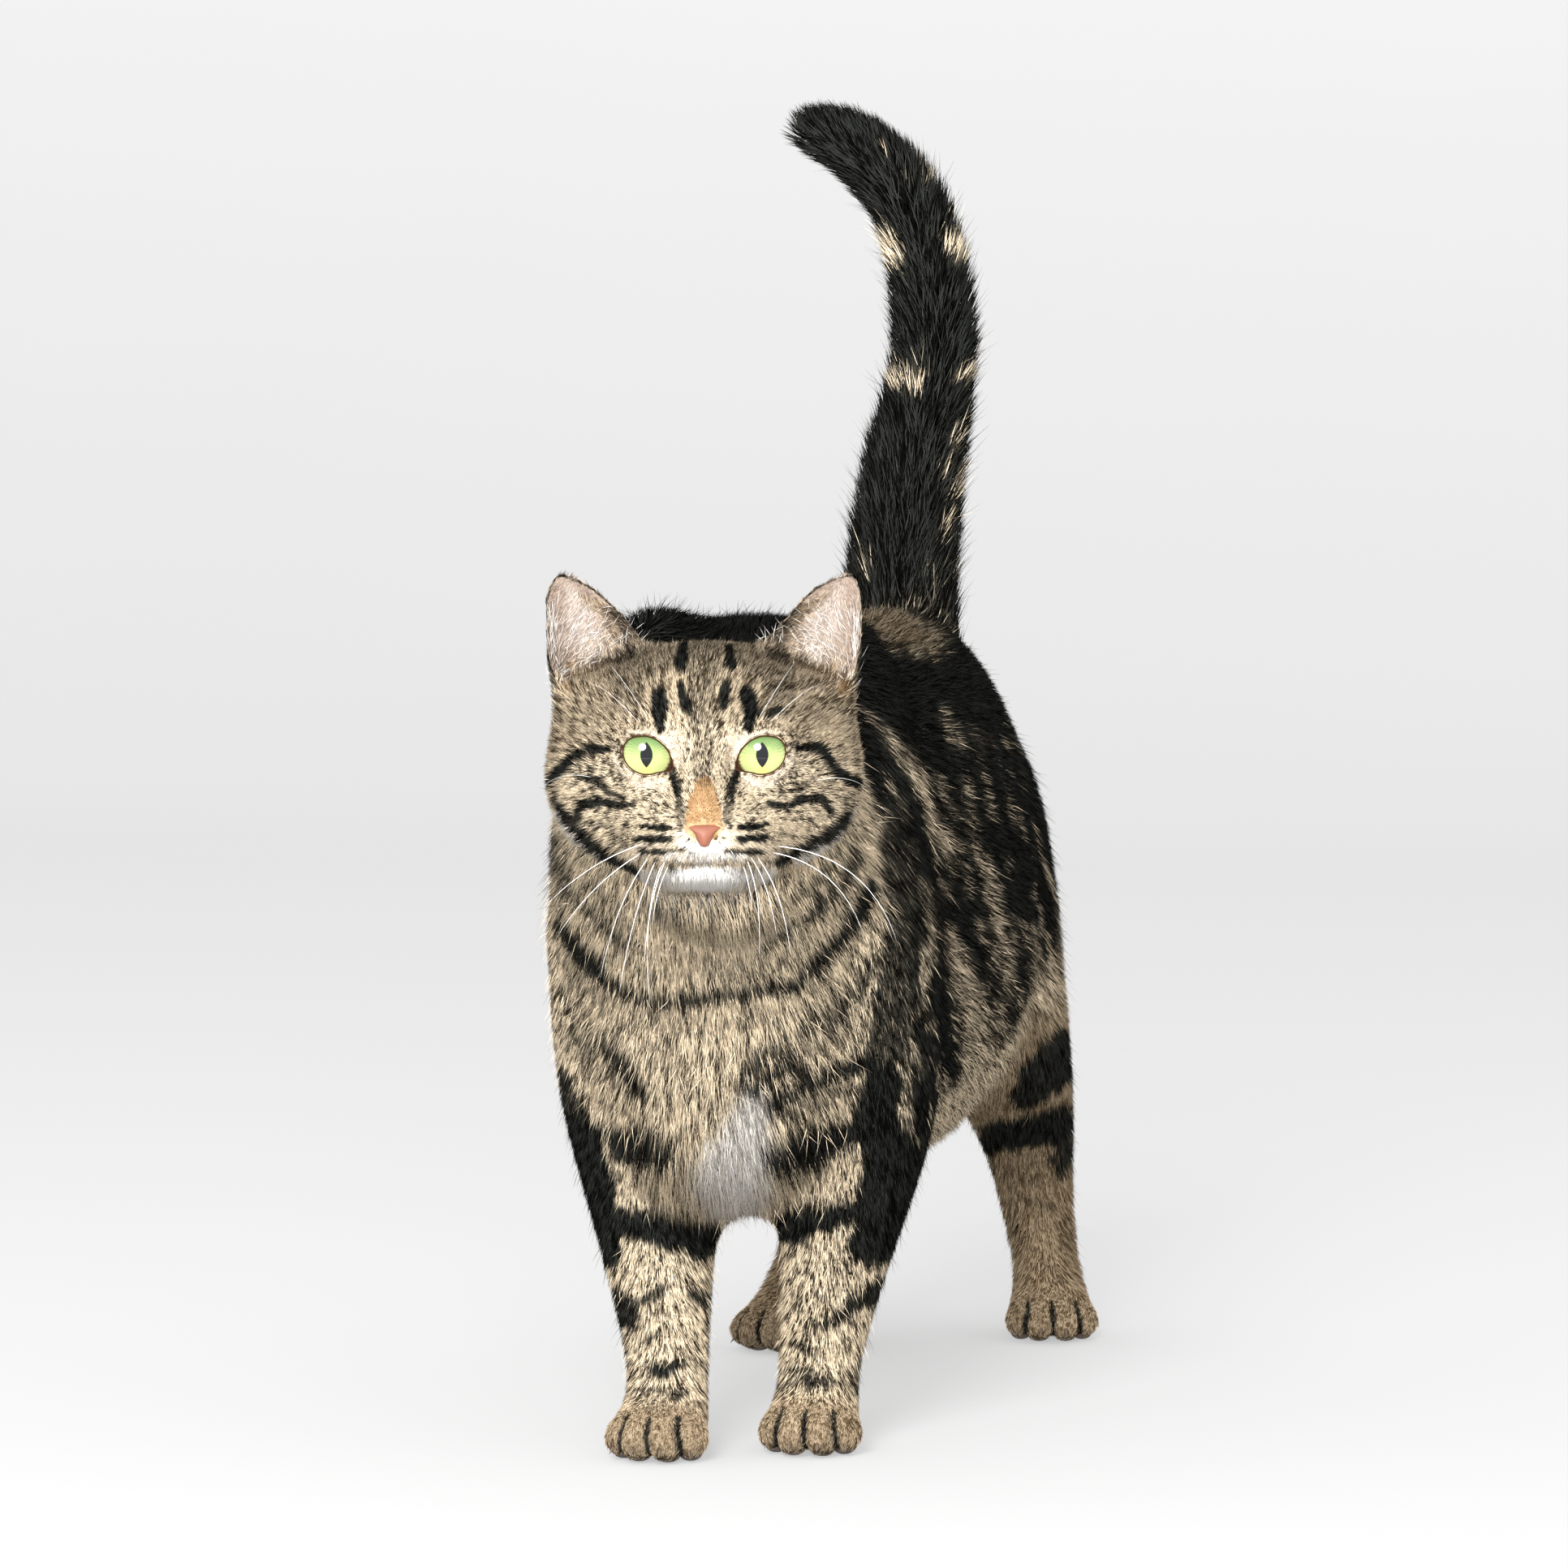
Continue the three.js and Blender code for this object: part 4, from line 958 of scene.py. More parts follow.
def mark_ears(paints, place, normals, wobble, share):
    """The pink hollow of the ears with its strokes, the tan rims and the black backs."""
    ears = part_share(share, "ear")
    inside = ear_inside(place, normals @ HEAD_TURN)
    hollow = painted(np.abs(place[:, [0, 2]] + wobble[:, [0, 2]]), EAR_STROKES, 2)
    lay(paints, "pink", ears * inside * 0.9)
    lay(paints, "tan", ears * np.clip(1 - np.abs(inside - 0.35) / 0.35, 0, 1) * 0.7)
    for paint, mask in hollow.items():
        lay(paints, paint, mask * inside * ears)
    paints["pink"] *= 1 - 0.9 * np.maximum(hollow["brown"], hollow["tan"]) * ears
    paints["black"] *= 1 - ears * inside * (1 - hollow["black"])
    lay(paints, "black", ears * smooth(0.4, 0.1, inside) * 0.85)
    for paint in PAINTS:
        if paint not in ("black", "tan"):
            paints[paint] *= 1 - ears * (1 - inside)


def markings(points, normals, share):
    """The paints of the coat at points in metres, as shares from 0 to 1."""
    mm = points / MM
    place = in_head(points)
    wobble = np.stack([ripple(mm, 4, seed) for seed in (1, 2, 3)], 1) * 0.35
    rough = wobble * 1.3 + np.stack([ripple(mm, 14, seed) for seed in (4, 5, 6)], 1) * 0.7
    board = (mm + rough) @ BOARD
    head, tail = part_share(share, "head"), part_share(share, *TAIL_PARTS)
    paints = {name: np.zeros(len(points)) for name in PAINTS}
    # the ground is paler on the cheeks and the breast, and browner on the brow
    lay(paints, "pale", 0.3 * smooth(0, -20, place[:, 2]) * head)
    lay(paints, "pale", 0.4 * underside(mm, share))
    lay(paints, "brown", 0.4 * smooth(8, 22, place[:, 2] + 0.3 * np.abs(place[:, 0])) * head)
    mark_trunk(paints, mm, rough, share)
    mark_breast(paints, mm, place, board, share)
    mark_legs(paints, mm, board, share)
    marks = stroked((mm + wobble) @ BOARD, TAIL_STROKES, 1.0)
    paints["black"] = mixed(paints["black"], 1 - 0.9 * marks, tail)
    lay(paints, "pale", marks * tail)
    mark_face(paints, place, wobble, share)
    mark_ears(paints, place, normals, wobble, share)
    return {paint: np.clip(mask, 0, 1) for paint, mask in paints.items()}


# ---- materials -----------------------------------------------------------------------------


class Value:
    """A socket of numbers, which adds a Math node for each sum that it stands in."""

    def __init__(self, shader, socket):
        self.shader = shader
        self.socket = socket

    def __add__(self, other):
        return self.shader.math("ADD", self, other)

    __radd__ = __add__

    def __sub__(self, other):
        return self.shader.math("SUBTRACT", self, other)

    def __rsub__(self, other):
        return self.shader.math("SUBTRACT", other, self)

    def __mul__(self, other):
        return self.shader.math("MULTIPLY", self, other)

    __rmul__ = __mul__

    def __truediv__(self, other):
        return self.shader.math("DIVIDE", self, other)

    def __abs__(self):
        return self.shader.math("ABSOLUTE", self)

    def rising(self, low, high):
        """0 where this is below low, 1 where it is above high, and a smooth slope between."""
        node = self.shader.node("ShaderNodeMapRange", {"interpolation_type": "SMOOTHSTEP"}, {
            "Value": self, "From Min": low, "From Max": high, "To Min": 0.0, "To Max": 1.0})
        return Value(self.shader, node.outputs["Result"])


class Shader:
    """The node tree of one material, ending in one Principled surface."""

    def __init__(self, name, **constants):
        self.material = bpy.data.materials.new(name)
        self.material.use_nodes = True
        self.tree = self.material.node_tree
        self.surface = self.tree.nodes["Principled BSDF"]
        for socket, value in constants.items():
            self.surface.inputs[socket.replace("_", " ")].default_value = value

    def node(self, kind, settings, sockets):
        """Adds a node: its settings are made first, then its sockets get values or links."""
        node = self.tree.nodes.new(kind)
        for name, value in settings.items():
            setattr(node, name, value)
        for name, value in sockets.items():
            self.feed(node.inputs[name], value)
        return node

    def math(self, operation, first, second=0.0):
        node = self.node("ShaderNodeMath", {"operation": operation}, {0: first, 1: second})
        return Value(self, node.outputs[0])

    def feed(self, socket, value):
        if isinstance(value, Value):
            value = value.socket
        if isinstance(value, bpy.types.NodeSocket):
            self.tree.links.new(value, socket)
        else:
            socket.default_value = value

    def attribute(self, name):
        node = self.node("ShaderNodeAttribute", {"attribute_name": name}, {})
        return Value(self, node.outputs["Fac"])

    def noise(self, scale, detail=2.0, roughness=0.5):
        place = self.node("ShaderNodeTexCoord", {}, {}).outputs["Object"]
        node = self.node("ShaderNodeTexNoise", {}, {
            "Vector": place, "Scale": scale, "Detail": detail, "Roughness": roughness})
        return Value(self, node.outputs["Fac"])

    def mix(self, factor, first, second):
        """A colour between two colours, which are sockets or (r, g, b)."""
        first, second = (colour if isinstance(colour, bpy.types.NodeSocket) else (*colour, 1)
                         for colour in (first, second))
        node = self.node("ShaderNodeMix", {"data_type": "RGBA"}, {"Factor": factor, 6: first, 7: second})
        return node.outputs[2]

    def scaled(self, colour, factor):
        node = self.node("ShaderNodeVectorMath", {"operation": "SCALE"}, {0: colour, "Scale": factor})
        return node.outputs[0]

    def ends_in(self, colour):
        self.feed(self.surface.inputs["Base Color"], colour)

    def bump(self, height, distance, strength=1.0):
        node = self.node("ShaderNodeBump", {}, {
            "Height": height, "Distance": distance, "Strength": strength})
        self.feed(self.surface.inputs["Normal"], node.outputs["Normal"])


def pelt_colour(shader, tone):
    """The colour of skin or hair from its markings and a tone from dark to light."""
    pelt = bpy.context.scene.cat_pelt
    tone = (tone + shader.attribute("pale") * 0.35).rising(0.15, 0.85)
    colour = shader.mix(tone, pelt.dark, pelt.light)
    for paint, dark, light in (("grey", pelt.grey_dark, pelt.grey_light),
                               ("brown", pelt.brown_dark, pelt.brown_light),
                               ("tan", pelt.tan_dark, pelt.tan)):
        colour = shader.mix(shader.attribute(paint), colour, shader.mix(tone, dark, light))
    for paint in ("cream", "pink", "white"):
        colour = shader.mix(shader.attribute(paint), colour, getattr(pelt, paint))
    black = shader.mix(tone.rising(0.6, 1.1), pelt.black, pelt.sheen)
    return shader.mix(shader.attribute("black"), colour, black)


def hair_material():
    """The one material of all the coat pieces, darker at the roots than at the tips: partly the hair's
    own dark base and partly painted shade deep in the coat.
    """
    made = bpy.data.materials.get("hair")
    if made:
        return made
    shader = Shader("hair", Roughness=0.5, Specular_IOR_Level=0.0)
    along = shader.attribute("along")
    colour = pelt_colour(shader, shader.attribute("tone"))
    # painted shade deep in the coat, with the hair's own dark base: the roots are darker, less so in the
    # cream, white and pink places
    plain = shader.attribute("cream") + shader.attribute("white") + shader.attribute("pink")
    base = plain.rising(0, 1) * 0.5 + 0.2
    depth = (along.rising(-0.1, 0.7) * (1 - base) + base) * (shader.attribute("shade") * 0.3 + 0.85)
    shader.ends_in(shader.scaled(colour, depth))
    return shader.material


def skin_material():
    """The skin under the coat, with the markings of the coat darkened as painted shade deep in the coat,
    and dark lids.
    """
    shader = Shader("skin", Roughness=0.75, Specular_IOR_Level=0.05)
    colour = pelt_colour(shader, (shader.noise(600, 3.0) - 0.5) * 2.4 + 0.45)
    lid = bpy.context.scene.cat_face.lid
    # painted shade deep under the coat: the skin takes the coat's colour at 0.6, to go with the dark
    # roots of the tufts
    colour = shader.mix(shader.attribute("lid"), shader.scaled(colour, 0.6), lid)
    shader.ends_in(colour)
    shader.bump(shader.noise(900, 3.0), 0.0004)
    return shader.material


def eye_material():
    """Iris, slit pupil, dark rim and the painted shadow of the upper lid, laid out by the millimetres
    across and up from the middle.
    """
    face = bpy.context.scene.cat_face
    shader = Shader("eye", Roughness=0.5, Specular_IOR_Level=0.0, Coat_Weight=1.0, Coat_Roughness=0.03)
    across, up = shader.attribute("across"), shader.attribute("up")
    reach = shader.math("SQRT", across * across + up * up)
    angle = shader.math("ARCTAN2", up, across)
    fibres = shader.math("SINE", angle * 37 + shader.noise(260, 2.0) * 16) * 0.5 + 0.5
    # from the lower iris up to the darker upper iris, whose dark is partly its own green and partly
    # painted shade of the upper lid
    height = (up + shader.noise(300, 2.0) * 3 - 1.5 + fibres * 1.4).rising(-1.0, 5.5)
    colour = shader.mix(height, face.iris_low, face.iris_high)
    glow = (reach + fibres * 0.8 - across * 0.05).rising(1.0, 4.2)
    colour = shader.mix(glow, face.iris_middle, colour)
    amber = (across * across * 0.35 + (up + 4.6) * (up + 4.6)).rising(2.6, 0.0) * 0.55
    colour = shader.mix(amber, colour, face.iris_amber)
    ring = (reach + fibres * 0.25).rising(7.0, 8.0)
    colour = shader.mix(ring, colour, face.lid)
    # painted shadow of the upper lid over the top of the iris
    colour = shader.mix(up.rising(4.2, 7.0) * 0.85, colour, face.lid)
    high, wide = face.pupil_height / MM / 2, face.pupil_width / MM / 2
    gap = abs(across) - (1 - up * up / high ** 2) * wide
    colour = shader.mix(gap.rising(0.22, 0.0), colour, (0.002, 0.002, 0.003))
    shader.ends_in(colour)
    return shader.material


def nose_material():
    """Mottled, pebbled leather, with painted shade in the nostrils."""
    face = bpy.context.scene.cat_face
    shader = Shader("nose_leather", Roughness=0.45, Specular_IOR_Level=0.4)
    mottle = (shader.noise(500, 3.0) - 0.5) * 0.8 + 0.5
    colour = shader.mix(mottle, face.nose, tuple(part * 0.75 for part in face.nose))
    # painted shade in the nostrils, which are only shallow dents
    shader.ends_in(shader.mix(shader.attribute("nostril"), colour, (0.05, 0.012, 0.008)))
    shader.bump(shader.noise(2500, 2.0), 0.0002, 0.6)
    return shader.material


def plain_material(name, colour, **constants):
    """One slightly mottled colour."""
    shader = Shader(name, **constants)
    mottle = shader.noise(400, 2.0)
    shader.ends_in(shader.mix(mottle, colour, tuple(part * 0.85 for part in colour)))
    return shader.material


# ---- coat ----------------------------------------------------------------------------------

# Each piece of the coat, the parts that it grows on, and how many bends its tufts have.
COAT_PIECES = {
    "coat_face": (("face",), 0),
    "coat_head": (("head",), 0),
    "coat_ears": (("ear",), 0),
    "coat_neck": (("neck",), 0),
    "coat_chest": (("chest",), 0),
    "coat_left_flank": (("belly",), 0),
    "coat_right_flank": (("belly_right",), 0),
    "coat_rump": (("rump",), 0),
    "coat_shoulders": (("shoulder",), 0),
    "coat_left_forearm": (("forearm",), 0),
    "coat_right_forearm": (("forearm_right",), 0),
    "coat_thighs": (("thigh",), 0),
    "coat_shanks": (("shank",), 0),
    "coat_paws": (("paw",), 0),
    "coat_tail": (TAIL_PARTS, 1),
}
# Long hairs that stand over the rest: length, half width, lift and number on each part.
LONG_HAIRS = {
    "head": (6.5, 0.07, 44, 0.10), "neck": (12, 0.09, 42, 0.03), "chest": (14, 0.09, 42, 0.09),
    "shoulder": (13, 0.09, 46, 0.13), "forearm": (9, 0.08, 44, 0.06), "paw": (1, 0, 0, 0),
    "belly": (11, 0.10, 44, 0.025), "rump": (11, 0.10, 44, 0.03), "thigh": (12, 0.09, 46, 0.05),
    "shank": (8, 0.08, 44, 0.05), "tail_root": (22, 0.13, 48, 0.09),
    "tail_middle": (21, 0.13, 48, 0.09), "tail_end": (20, 0.13, 48, 0.09),
    "tail_tip": (12, 0.12, 44, 0.08), "ear": (8, 0.07, 22, 0.5),
}
# How far tufts and long hairs stray from the lie, how much their length and width differ from
# the tables, and how strongly the tips of one lock draw together.
TUFT_SPREAD = {"stray": 0.12, "lengths": (0.75, 1.15), "widths": (0.75, 1.2)}
HAIR_SPREAD = {"stray": 0.22, "lengths": (0.7, 1.2), "widths": (0.8, 1.2)}
TUFT_CLUMP, HAIR_CLUMP = 0.35, 0.1
FACE_BACK = -6  # the piece on the face ends here
WIDEST = 0.35  # where along its length a bent tuft is widest
DROOP = 0.32  # how much of its rise a tuft gives up again towards its tip
CURL = 0.13  # how far, against its length, a tip bends sideways
SLANT = 0.1  # how far, against its length, a tuft leans sideways
PATCH = 0.0015  # half of the side of a tuft's patch on the map
LOCK = 2.4  # hairs that stand this near each other lean together
UV_MARGIN = 0.01
FLOOR_GAP = 0.0002  # metres; no hair goes lower


def tuft_template(bends):
    """A tuft of length 1 and half width 1, as points and faces: a cone, or one with two ends."""
    tuft = bmesh.new()
    middle = WIDEST if bends else 0
    bmesh.ops.create_cone(tuft, segments=3, radius1=1, radius2=0, depth=1 - middle,
                          cap_ends=not bends, cap_tris=False,
                          matrix=Matrix.Translation((0, 0, (1 + middle) / 2)))
    if bends:
        bmesh.ops.create_cone(tuft, segments=3, radius1=0, radius2=1, depth=middle,
                              matrix=Matrix.Translation((0, 0, middle / 2)))
    bmesh.ops.remove_doubles(tuft, verts=tuft.verts, dist=0.01)
    bmesh.ops.recalc_face_normals(tuft, faces=tuft.faces)
    points = np.array([vert.co for vert in tuft.verts])
    tuft.verts.index_update()
    faces = np.array([[vert.index for vert in face.verts] for face in tuft.faces])
    tuft.free()
    return points, faces


def scattered(points, triangles, density, draw):
    """Roots spread over triangles by the density at their corners: triangles and weights."""
    a, b, c = (points[triangles[:, corner]] for corner in range(3))
    area = np.linalg.norm(np.cross(b - a, c - a), axis=1) / 2 / MM ** 2
    total = np.cumsum(area * density[triangles].mean(1))
    count = int(total[-1])
    spots = (np.arange(count) + draw.uniform(size=count)) * total[-1] / count
    picked = np.minimum(np.searchsorted(total, spots), len(triangles) - 1)
    one, two = draw.uniform(size=(2, count))
    over = one + two > 1
    one[over], two[over] = 1 - one[over], 1 - two[over]
    return picked, np.stack([1 - one - two, one, two], 1)


def blended(values, weights):
    """Values at the three corners of each triangle, mixed by weights."""
    return np.einsum("nk,nk...->n...", weights, values)


def unwrapped(points, triangles):
    """A map of some triangles of the skin, from 0 to 1 both ways: three corners each."""
    used, corners = np.unique(triangles, return_inverse=True)
    patch = bpy.data.meshes.new("patch")
    patch.from_pydata(points[used].tolist(), [], corners.reshape(-1, 3).tolist())
    patch.uv_layers.new(name="map")
    body = bpy.data.objects.new("patch", patch)
    bpy.context.scene.collection.objects.link(body)
    bpy.context.view_layer.objects.active = body
    bpy.ops.object.mode_set(mode="EDIT")
    bpy.ops.mesh.select_all(action="SELECT")
    bpy.ops.uv.smart_project(angle_limit=math.radians(66), island_margin=0.004)
    bpy.ops.object.mode_set(mode="OBJECT")
    places = read(patch.uv_layers[0].uv, "vector", 2).reshape(-1, 3, 2)
    bpy.data.objects.remove(body)
    bpy.data.meshes.remove(patch)
    low, high = places.min((0, 1)), places.max((0, 1))
    return UV_MARGIN + (1 - 2 * UV_MARGIN) * (places - low) / (high - low)


def patch_of(faces, height):
    """Where the corners of a tuft's faces lie round its root on the map."""
    spots = []
    for face in faces:
        ends = height[face]
        tip = int(np.argmax(ends)) if ends.max() == 1 else int(np.argmin(ends))
        rise = PATCH if ends.max() == 1 else -PATCH
        across = iter((-PATCH, PATCH))
        spots += [(0, rise) if corner == tip else (next(across), 0) for corner in range(3)]
    return np.array(spots)


class Tufts:
    """Tufts rooted on some triangles of the skin, with what the skin and chance give each.

    The ground is the points, normals, shares, lies and coat numbers of the skin.
    """

    def __init__(self, ground, triangles, density, draw, stray, lengths, widths):
        picked, weights = scattered(ground[0], triangles, density, draw)
        corners = triangles[picked]
        self.roots, ups, self.share, lies, numbers = (
            blended(values[corners], weights) for values in ground)
        self.count = len(self.roots)
        self.ups = unit(ups)
        lies = lies + draw.normal(size=self.roots.shape) * stray
        self.lies = unit(lies - (lies * self.ups).sum(1, keepdims=True) * self.ups)
        grown = bpy.context.scene.cat_coat.length
        self.depth = numbers[:, DEPTH] * MM
        self.length = numbers[:, LENGTH] * draw.uniform(*lengths, self.count) * grown * MM
        self.width = numbers[:, WIDTH] * draw.uniform(*widths, self.count) * MM
        self.lift = np.radians(numbers[:, LIFT] * draw.uniform(0.7, 1.3, self.count))
        self.spots = blended(unwrapped(ground[0], triangles)[picked], weights)


def bent(template, tufts, clump, draw):
    """The points of tufts that leave the skin at their lift and then lie along it."""
    roots, ups, lies = tufts.roots, tufts.ups, tufts.lies
    side = unit(np.cross(ups, lies))
    height = template[:, 2]
    rise = np.sin(tufts.lift)[:, None] * (height - DROOP * height ** 2)
    run = np.cos(tufts.lift)[:, None] * height
    sway = draw.normal(size=(tufts.count, 1)) * CURL * height ** 2
    sway = sway + draw.normal(size=(tufts.count, 1)) * SLANT * height
    line = (lies[:, None] * run[..., None] + ups[:, None] * rise[..., None]
            + side[:, None] * sway[..., None]) * tufts.length[:, None, None]
    # the tips of one lock draw together
    spread = np.stack([ripple(roots / MM, 5, seed) for seed in (21, 22, 23)], 1)
    cells = np.floor(roots / MM / LOCK + 0.35 * spread).astype(int)
    _, lock = np.unique(cells, axis=0, return_inverse=True)
    lock = lock.ravel()
    tips = roots + line[:, int(np.argmax(height))]
    members = np.bincount(lock)
    middle = np.stack([np.bincount(lock, axis) / members for axis in tips.T], 1)[lock]
    line += (middle - tips)[:, None] * clump * height[None, :, None] ** 1.5
    spin = draw.uniform(0, 2 * math.pi, size=(tufts.count, 1, 1))
    x, y = template[None, :, 0:1], template[None, :, 1:2]
    across, over = np.cos(spin) * x - np.sin(spin) * y, np.sin(spin) * x + np.cos(spin) * y
    thick = (side[:, None] * across + ups[:, None] * over) * tufts.width[:, None, None]
    places = roots[:, None] + line + thick
    places[..., 2] = np.maximum(places[..., 2], FLOOR_GAP)
    return places


def tuft_mesh(name, places, faces):
    """One mesh of many copies of a tuft."""
    count, size = places.shape[:2]
    mesh = bpy.data.meshes.new(name)
    mesh.vertices.add(count * size)
    mesh.vertices.foreach_set("co", np.ascontiguousarray(places, np.float32).ravel())
    corners = (faces[None] + np.arange(count)[:, None, None] * size).ravel().astype(np.int32)
    mesh.loops.add(len(corners))
    mesh.loops.foreach_set("vertex_index", corners)
    mesh.polygons.add(len(corners) // 3)
    mesh.polygons.foreach_set("loop_start", np.arange(0, len(corners), 3, dtype=np.int32))
    mesh.update(calc_edges=True)
    shaded_smooth(mesh)
    return mesh


def coat_piece(name, tufts, bends, clump, paints, draw):
    """A piece of coat from its tufts: its mesh, its markings and its map."""
    template, faces = tuft_template(bends)
    height = template[:, 2]
    mesh = tuft_mesh(name, bent(template, tufts, clump, draw), faces)
    for paint, values in paints.items():
        write_attribute(mesh, paint, np.repeat(values, len(height)))
    write_attribute(mesh, "shade", np.repeat(draw.uniform(size=tufts.count), len(height)))
    write_attribute(mesh, "along", np.tile(height, tufts.count))
    uv = mesh.uv_layers.new(name="OFBake")
    places = tufts.spots[:, None] + patch_of(faces, height)[None]
    uv.uv.foreach_set("vector", places.astype(np.float32).ravel())
    return link(name, mesh, hair_material())


def tuft_paints(seen, tufts, draw):
    """The markings of each tuft at the place where it is seen, with a tone of its own."""
    paints = markings(seen, tufts.ups, tufts.share)
    flecks = 0.5 + 0.3 * ripple(seen / MM, 1.9, 31) + 0.14 * ripple(seen / MM, 6, 32)
    even = part_share(tufts.share, "paw", "shank", "neck")
    tone = mixed(draw.uniform(size=tufts.count), flecks, 0.7)
    paints["tone"] = smooth(0.36 - 0.1 * even, 0.58 - 0.03 * even, tone)
    chance = draw.uniform(size=tufts.count) - 0.5
    spread = 0.72 - 0.3 * part_share(tufts.share, "head")
    for paint in ("black", "white", "cream", "tan"):
        values = paints[paint]
        paints[paint] = mixed(values, smooth(0.32, 0.68, values + spread * chance), 0.85)
    return paints


def grow_coat(skin):
    """Plants every piece of the coat on the skin."""
    mesh = skin.data
    mesh.calc_loop_triangles()
    triangles = read(mesh.loop_triangles, "vertices", 3, np.int32)
    points, normals, share = points_of(mesh), normals_of(mesh), shares_of(mesh)
    numbers, lies = coat_numbers(points, share), lie_of_coat(points, share)
    bare = read(mesh.attributes["lid"].data, "value", 1)
    density = numbers[:, NUMBER] * bpy.context.scene.cat_coat.density * (1 - bare)
    kinds = np.array(KINDS, "U16")[np.argmax(share[triangles].sum(1), axis=1)]
    middles = points[triangles].mean(1)
    kinds[(in_head(middles)[:, 1] < FACE_BACK) & (kinds == "head")] = "face"
    for kind in ("belly", "forearm"):
        kinds[(middles[:, 0] < 0) & (kinds == kind)] = f"{kind}_right"
    ground = (points, normals, share, lies, numbers)
    for index, (name, (parts, bends)) in enumerate(COAT_PIECES.items()):
        draw = np.random.default_rng(100 + index)
        chosen = triangles[np.isin(kinds, parts)]
        tufts = Tufts(ground, chosen, density, draw, **TUFT_SPREAD)
        seen = tufts.roots + tufts.lies * (tufts.length * 0.55)[:, None]
        seen = seen + tufts.ups * tufts.depth[:, None]
        paints = tuft_paints(seen, tufts, draw)
        coat_piece(name, tufts, bends, TUFT_CLUMP, paints, draw)
    grow_long_hairs(points, normals, triangles, share, lies)


def grow_long_hairs(points, normals, triangles, share, lies):
    """Thin single hairs, longer and standing higher than the tufts round them."""
    draw = np.random.default_rng(300)
    numbers = share @ np.array([(0, *LONG_HAIRS[kind]) for kind in KINDS], float)
    place = in_head(points)
    face = smooth(0, -15, place[:, 1]) * part_share(share, "head")
    ears, hollow = part_share(share, "ear"), ear_inside(place, normals @ HEAD_TURN)
    # inside the ears they grow from the outer side and lean across
    across = np.stack([-np.sign(place[:, 0]), np.full(len(place), -0.5), place[:, 2] / 60], 1)
    lies = mixed(lies, unit(across) @ HEAD_TURN.T, ears[:, None])
    rooted = hollow * smooth(30, 36, np.abs(place[:, 0])) * smooth(50, 40, place[:, 2])
    density = numbers[:, NUMBER] * ((1 - face) * mixed(1, rooted, ears))
    ground = (points, normals, share, lies, numbers)
    tufts = Tufts(ground, triangles, density, draw, **HAIR_SPREAD)
    paints = tuft_paints(tufts.roots + tufts.ups * 3 * MM, tufts, draw)
    light = draw.uniform(size=tufts.count) < 0.85 * smooth(0.6, 0.2, paints["black"])
    paints["black"] = np.where(light, 0.0, np.maximum(paints["black"], 0.6))
    paints["tone"] = np.where(light, 1.0, 0.3)
    within = part_share(tufts.share, "ear") > 0.5
    paints["white"] = np.where(within, 0.7, paints["white"])
    paints["black"] = np.where(within, 0.0, paints["black"])
    coat_piece("coat_long_hairs", tufts, 1, HAIR_CLUMP, paints, draw)


# ---- eyes, nose, whiskers and claws ----------------------------------------------------------

# How finely the eyes and the nose are divided.
BALL = {"u_segments": 64, "v_segments": 48}


def eyeball(side):
    """A ball whose points know how far across and up from its middle they are."""
    middle = (side * EYE_OUT, -EYE_DEPTH, EYE_HEIGHT)
    shape = bmesh.new()
    bmesh.ops.create_uvsphere(shape, **BALL, radius=EYE_RADIUS * MM,
                              matrix=Matrix.Translation(from_head(middle)))
    mesh = finished("eye", shape)
    offset = in_head(points_of(mesh)) - middle
    write_attribute(mesh, "across", offset[:, 0])
    write_attribute(mesh, "up", offset[:, 2])
    return mesh


def skin_ahead(across, up):
    """The place on the front of the face, in the head's frame, at millimetres across and up."""
    skin = bpy.data.objects["skin"]
    tree = BVHTree.FromObject(skin, bpy.context.evaluated_depsgraph_get())
    backwards = from_head((0, 1, 0)) - from_head((0, 0, 0))
    return in_head(np.array(tree.ray_cast(from_head((across, -90, up)), backwards)[0]))


NOSE_BOTTOM, NOSE_TOP = -27.4, -20.3
NOSE_THICK = 3.4
NOSE_PROUD = 2.0  # how far the nose stands ahead of the skin above and below it
# Half width of the nose leather, from its bottom (-1) to its top (1).
NOSE_WIDTHS = ((-1, 0), (-0.9, 1.3), (-0.5, 2.2), (-0.1, 3.0), (0.2, 4.2), (0.45, 5.9),
               (0.8, 6.3), (0.95, 5.0), (1, 0))
NOSTRILS = ((3.4, -23.6, 0.45), (4.6, -22.6, 0.55), (6.0, -22.2, 0.35))


def nose_leather():
    """The bare nose, which stands a little ahead of the skin above and below it."""
    front = min(skin_ahead(0, up)[1] for up in (NOSE_TOP + 2, NOSE_BOTTOM - 1)) - NOSE_PROUD
    shape = bmesh.new()
    bmesh.ops.create_uvsphere(shape, **BALL, radius=1)
    mesh = finished("nose", shape)
    ball = points_of(mesh)
    level, width = np.array(NOSE_WIDTHS).T
    ring = np.maximum(np.sqrt(np.maximum(1 - ball[:, 2] ** 2, 0)), 1e-6)
    across = ball[:, 0] / ring * np.interp(ball[:, 2], level, width)
    up = mixed(NOSE_BOTTOM, NOSE_TOP, (ball[:, 2] + 1) / 2)
    depth = front + NOSE_THICK + ball[:, 1] / ring * NOSE_THICK * ring ** 0.7
    depth += 0.012 * across ** 2 - 0.02 * (up - NOSE_TOP) ** 2
    place = np.stack([across, depth, up], 1)
    gap = path_distance(np.abs(place[:, [0, 2]]) * (1, -1), NOSTRILS)
    hole = (1 - smooth(-0.1, 0.45, gap)) * (ball[:, 1] < 0)
    place[:, 1] += 1.3 * hole
    write_points(mesh, from_head(place))
    # where the painted shade of the nostrils lies
    write_attribute(mesh, "nostril", hole)
    return mesh


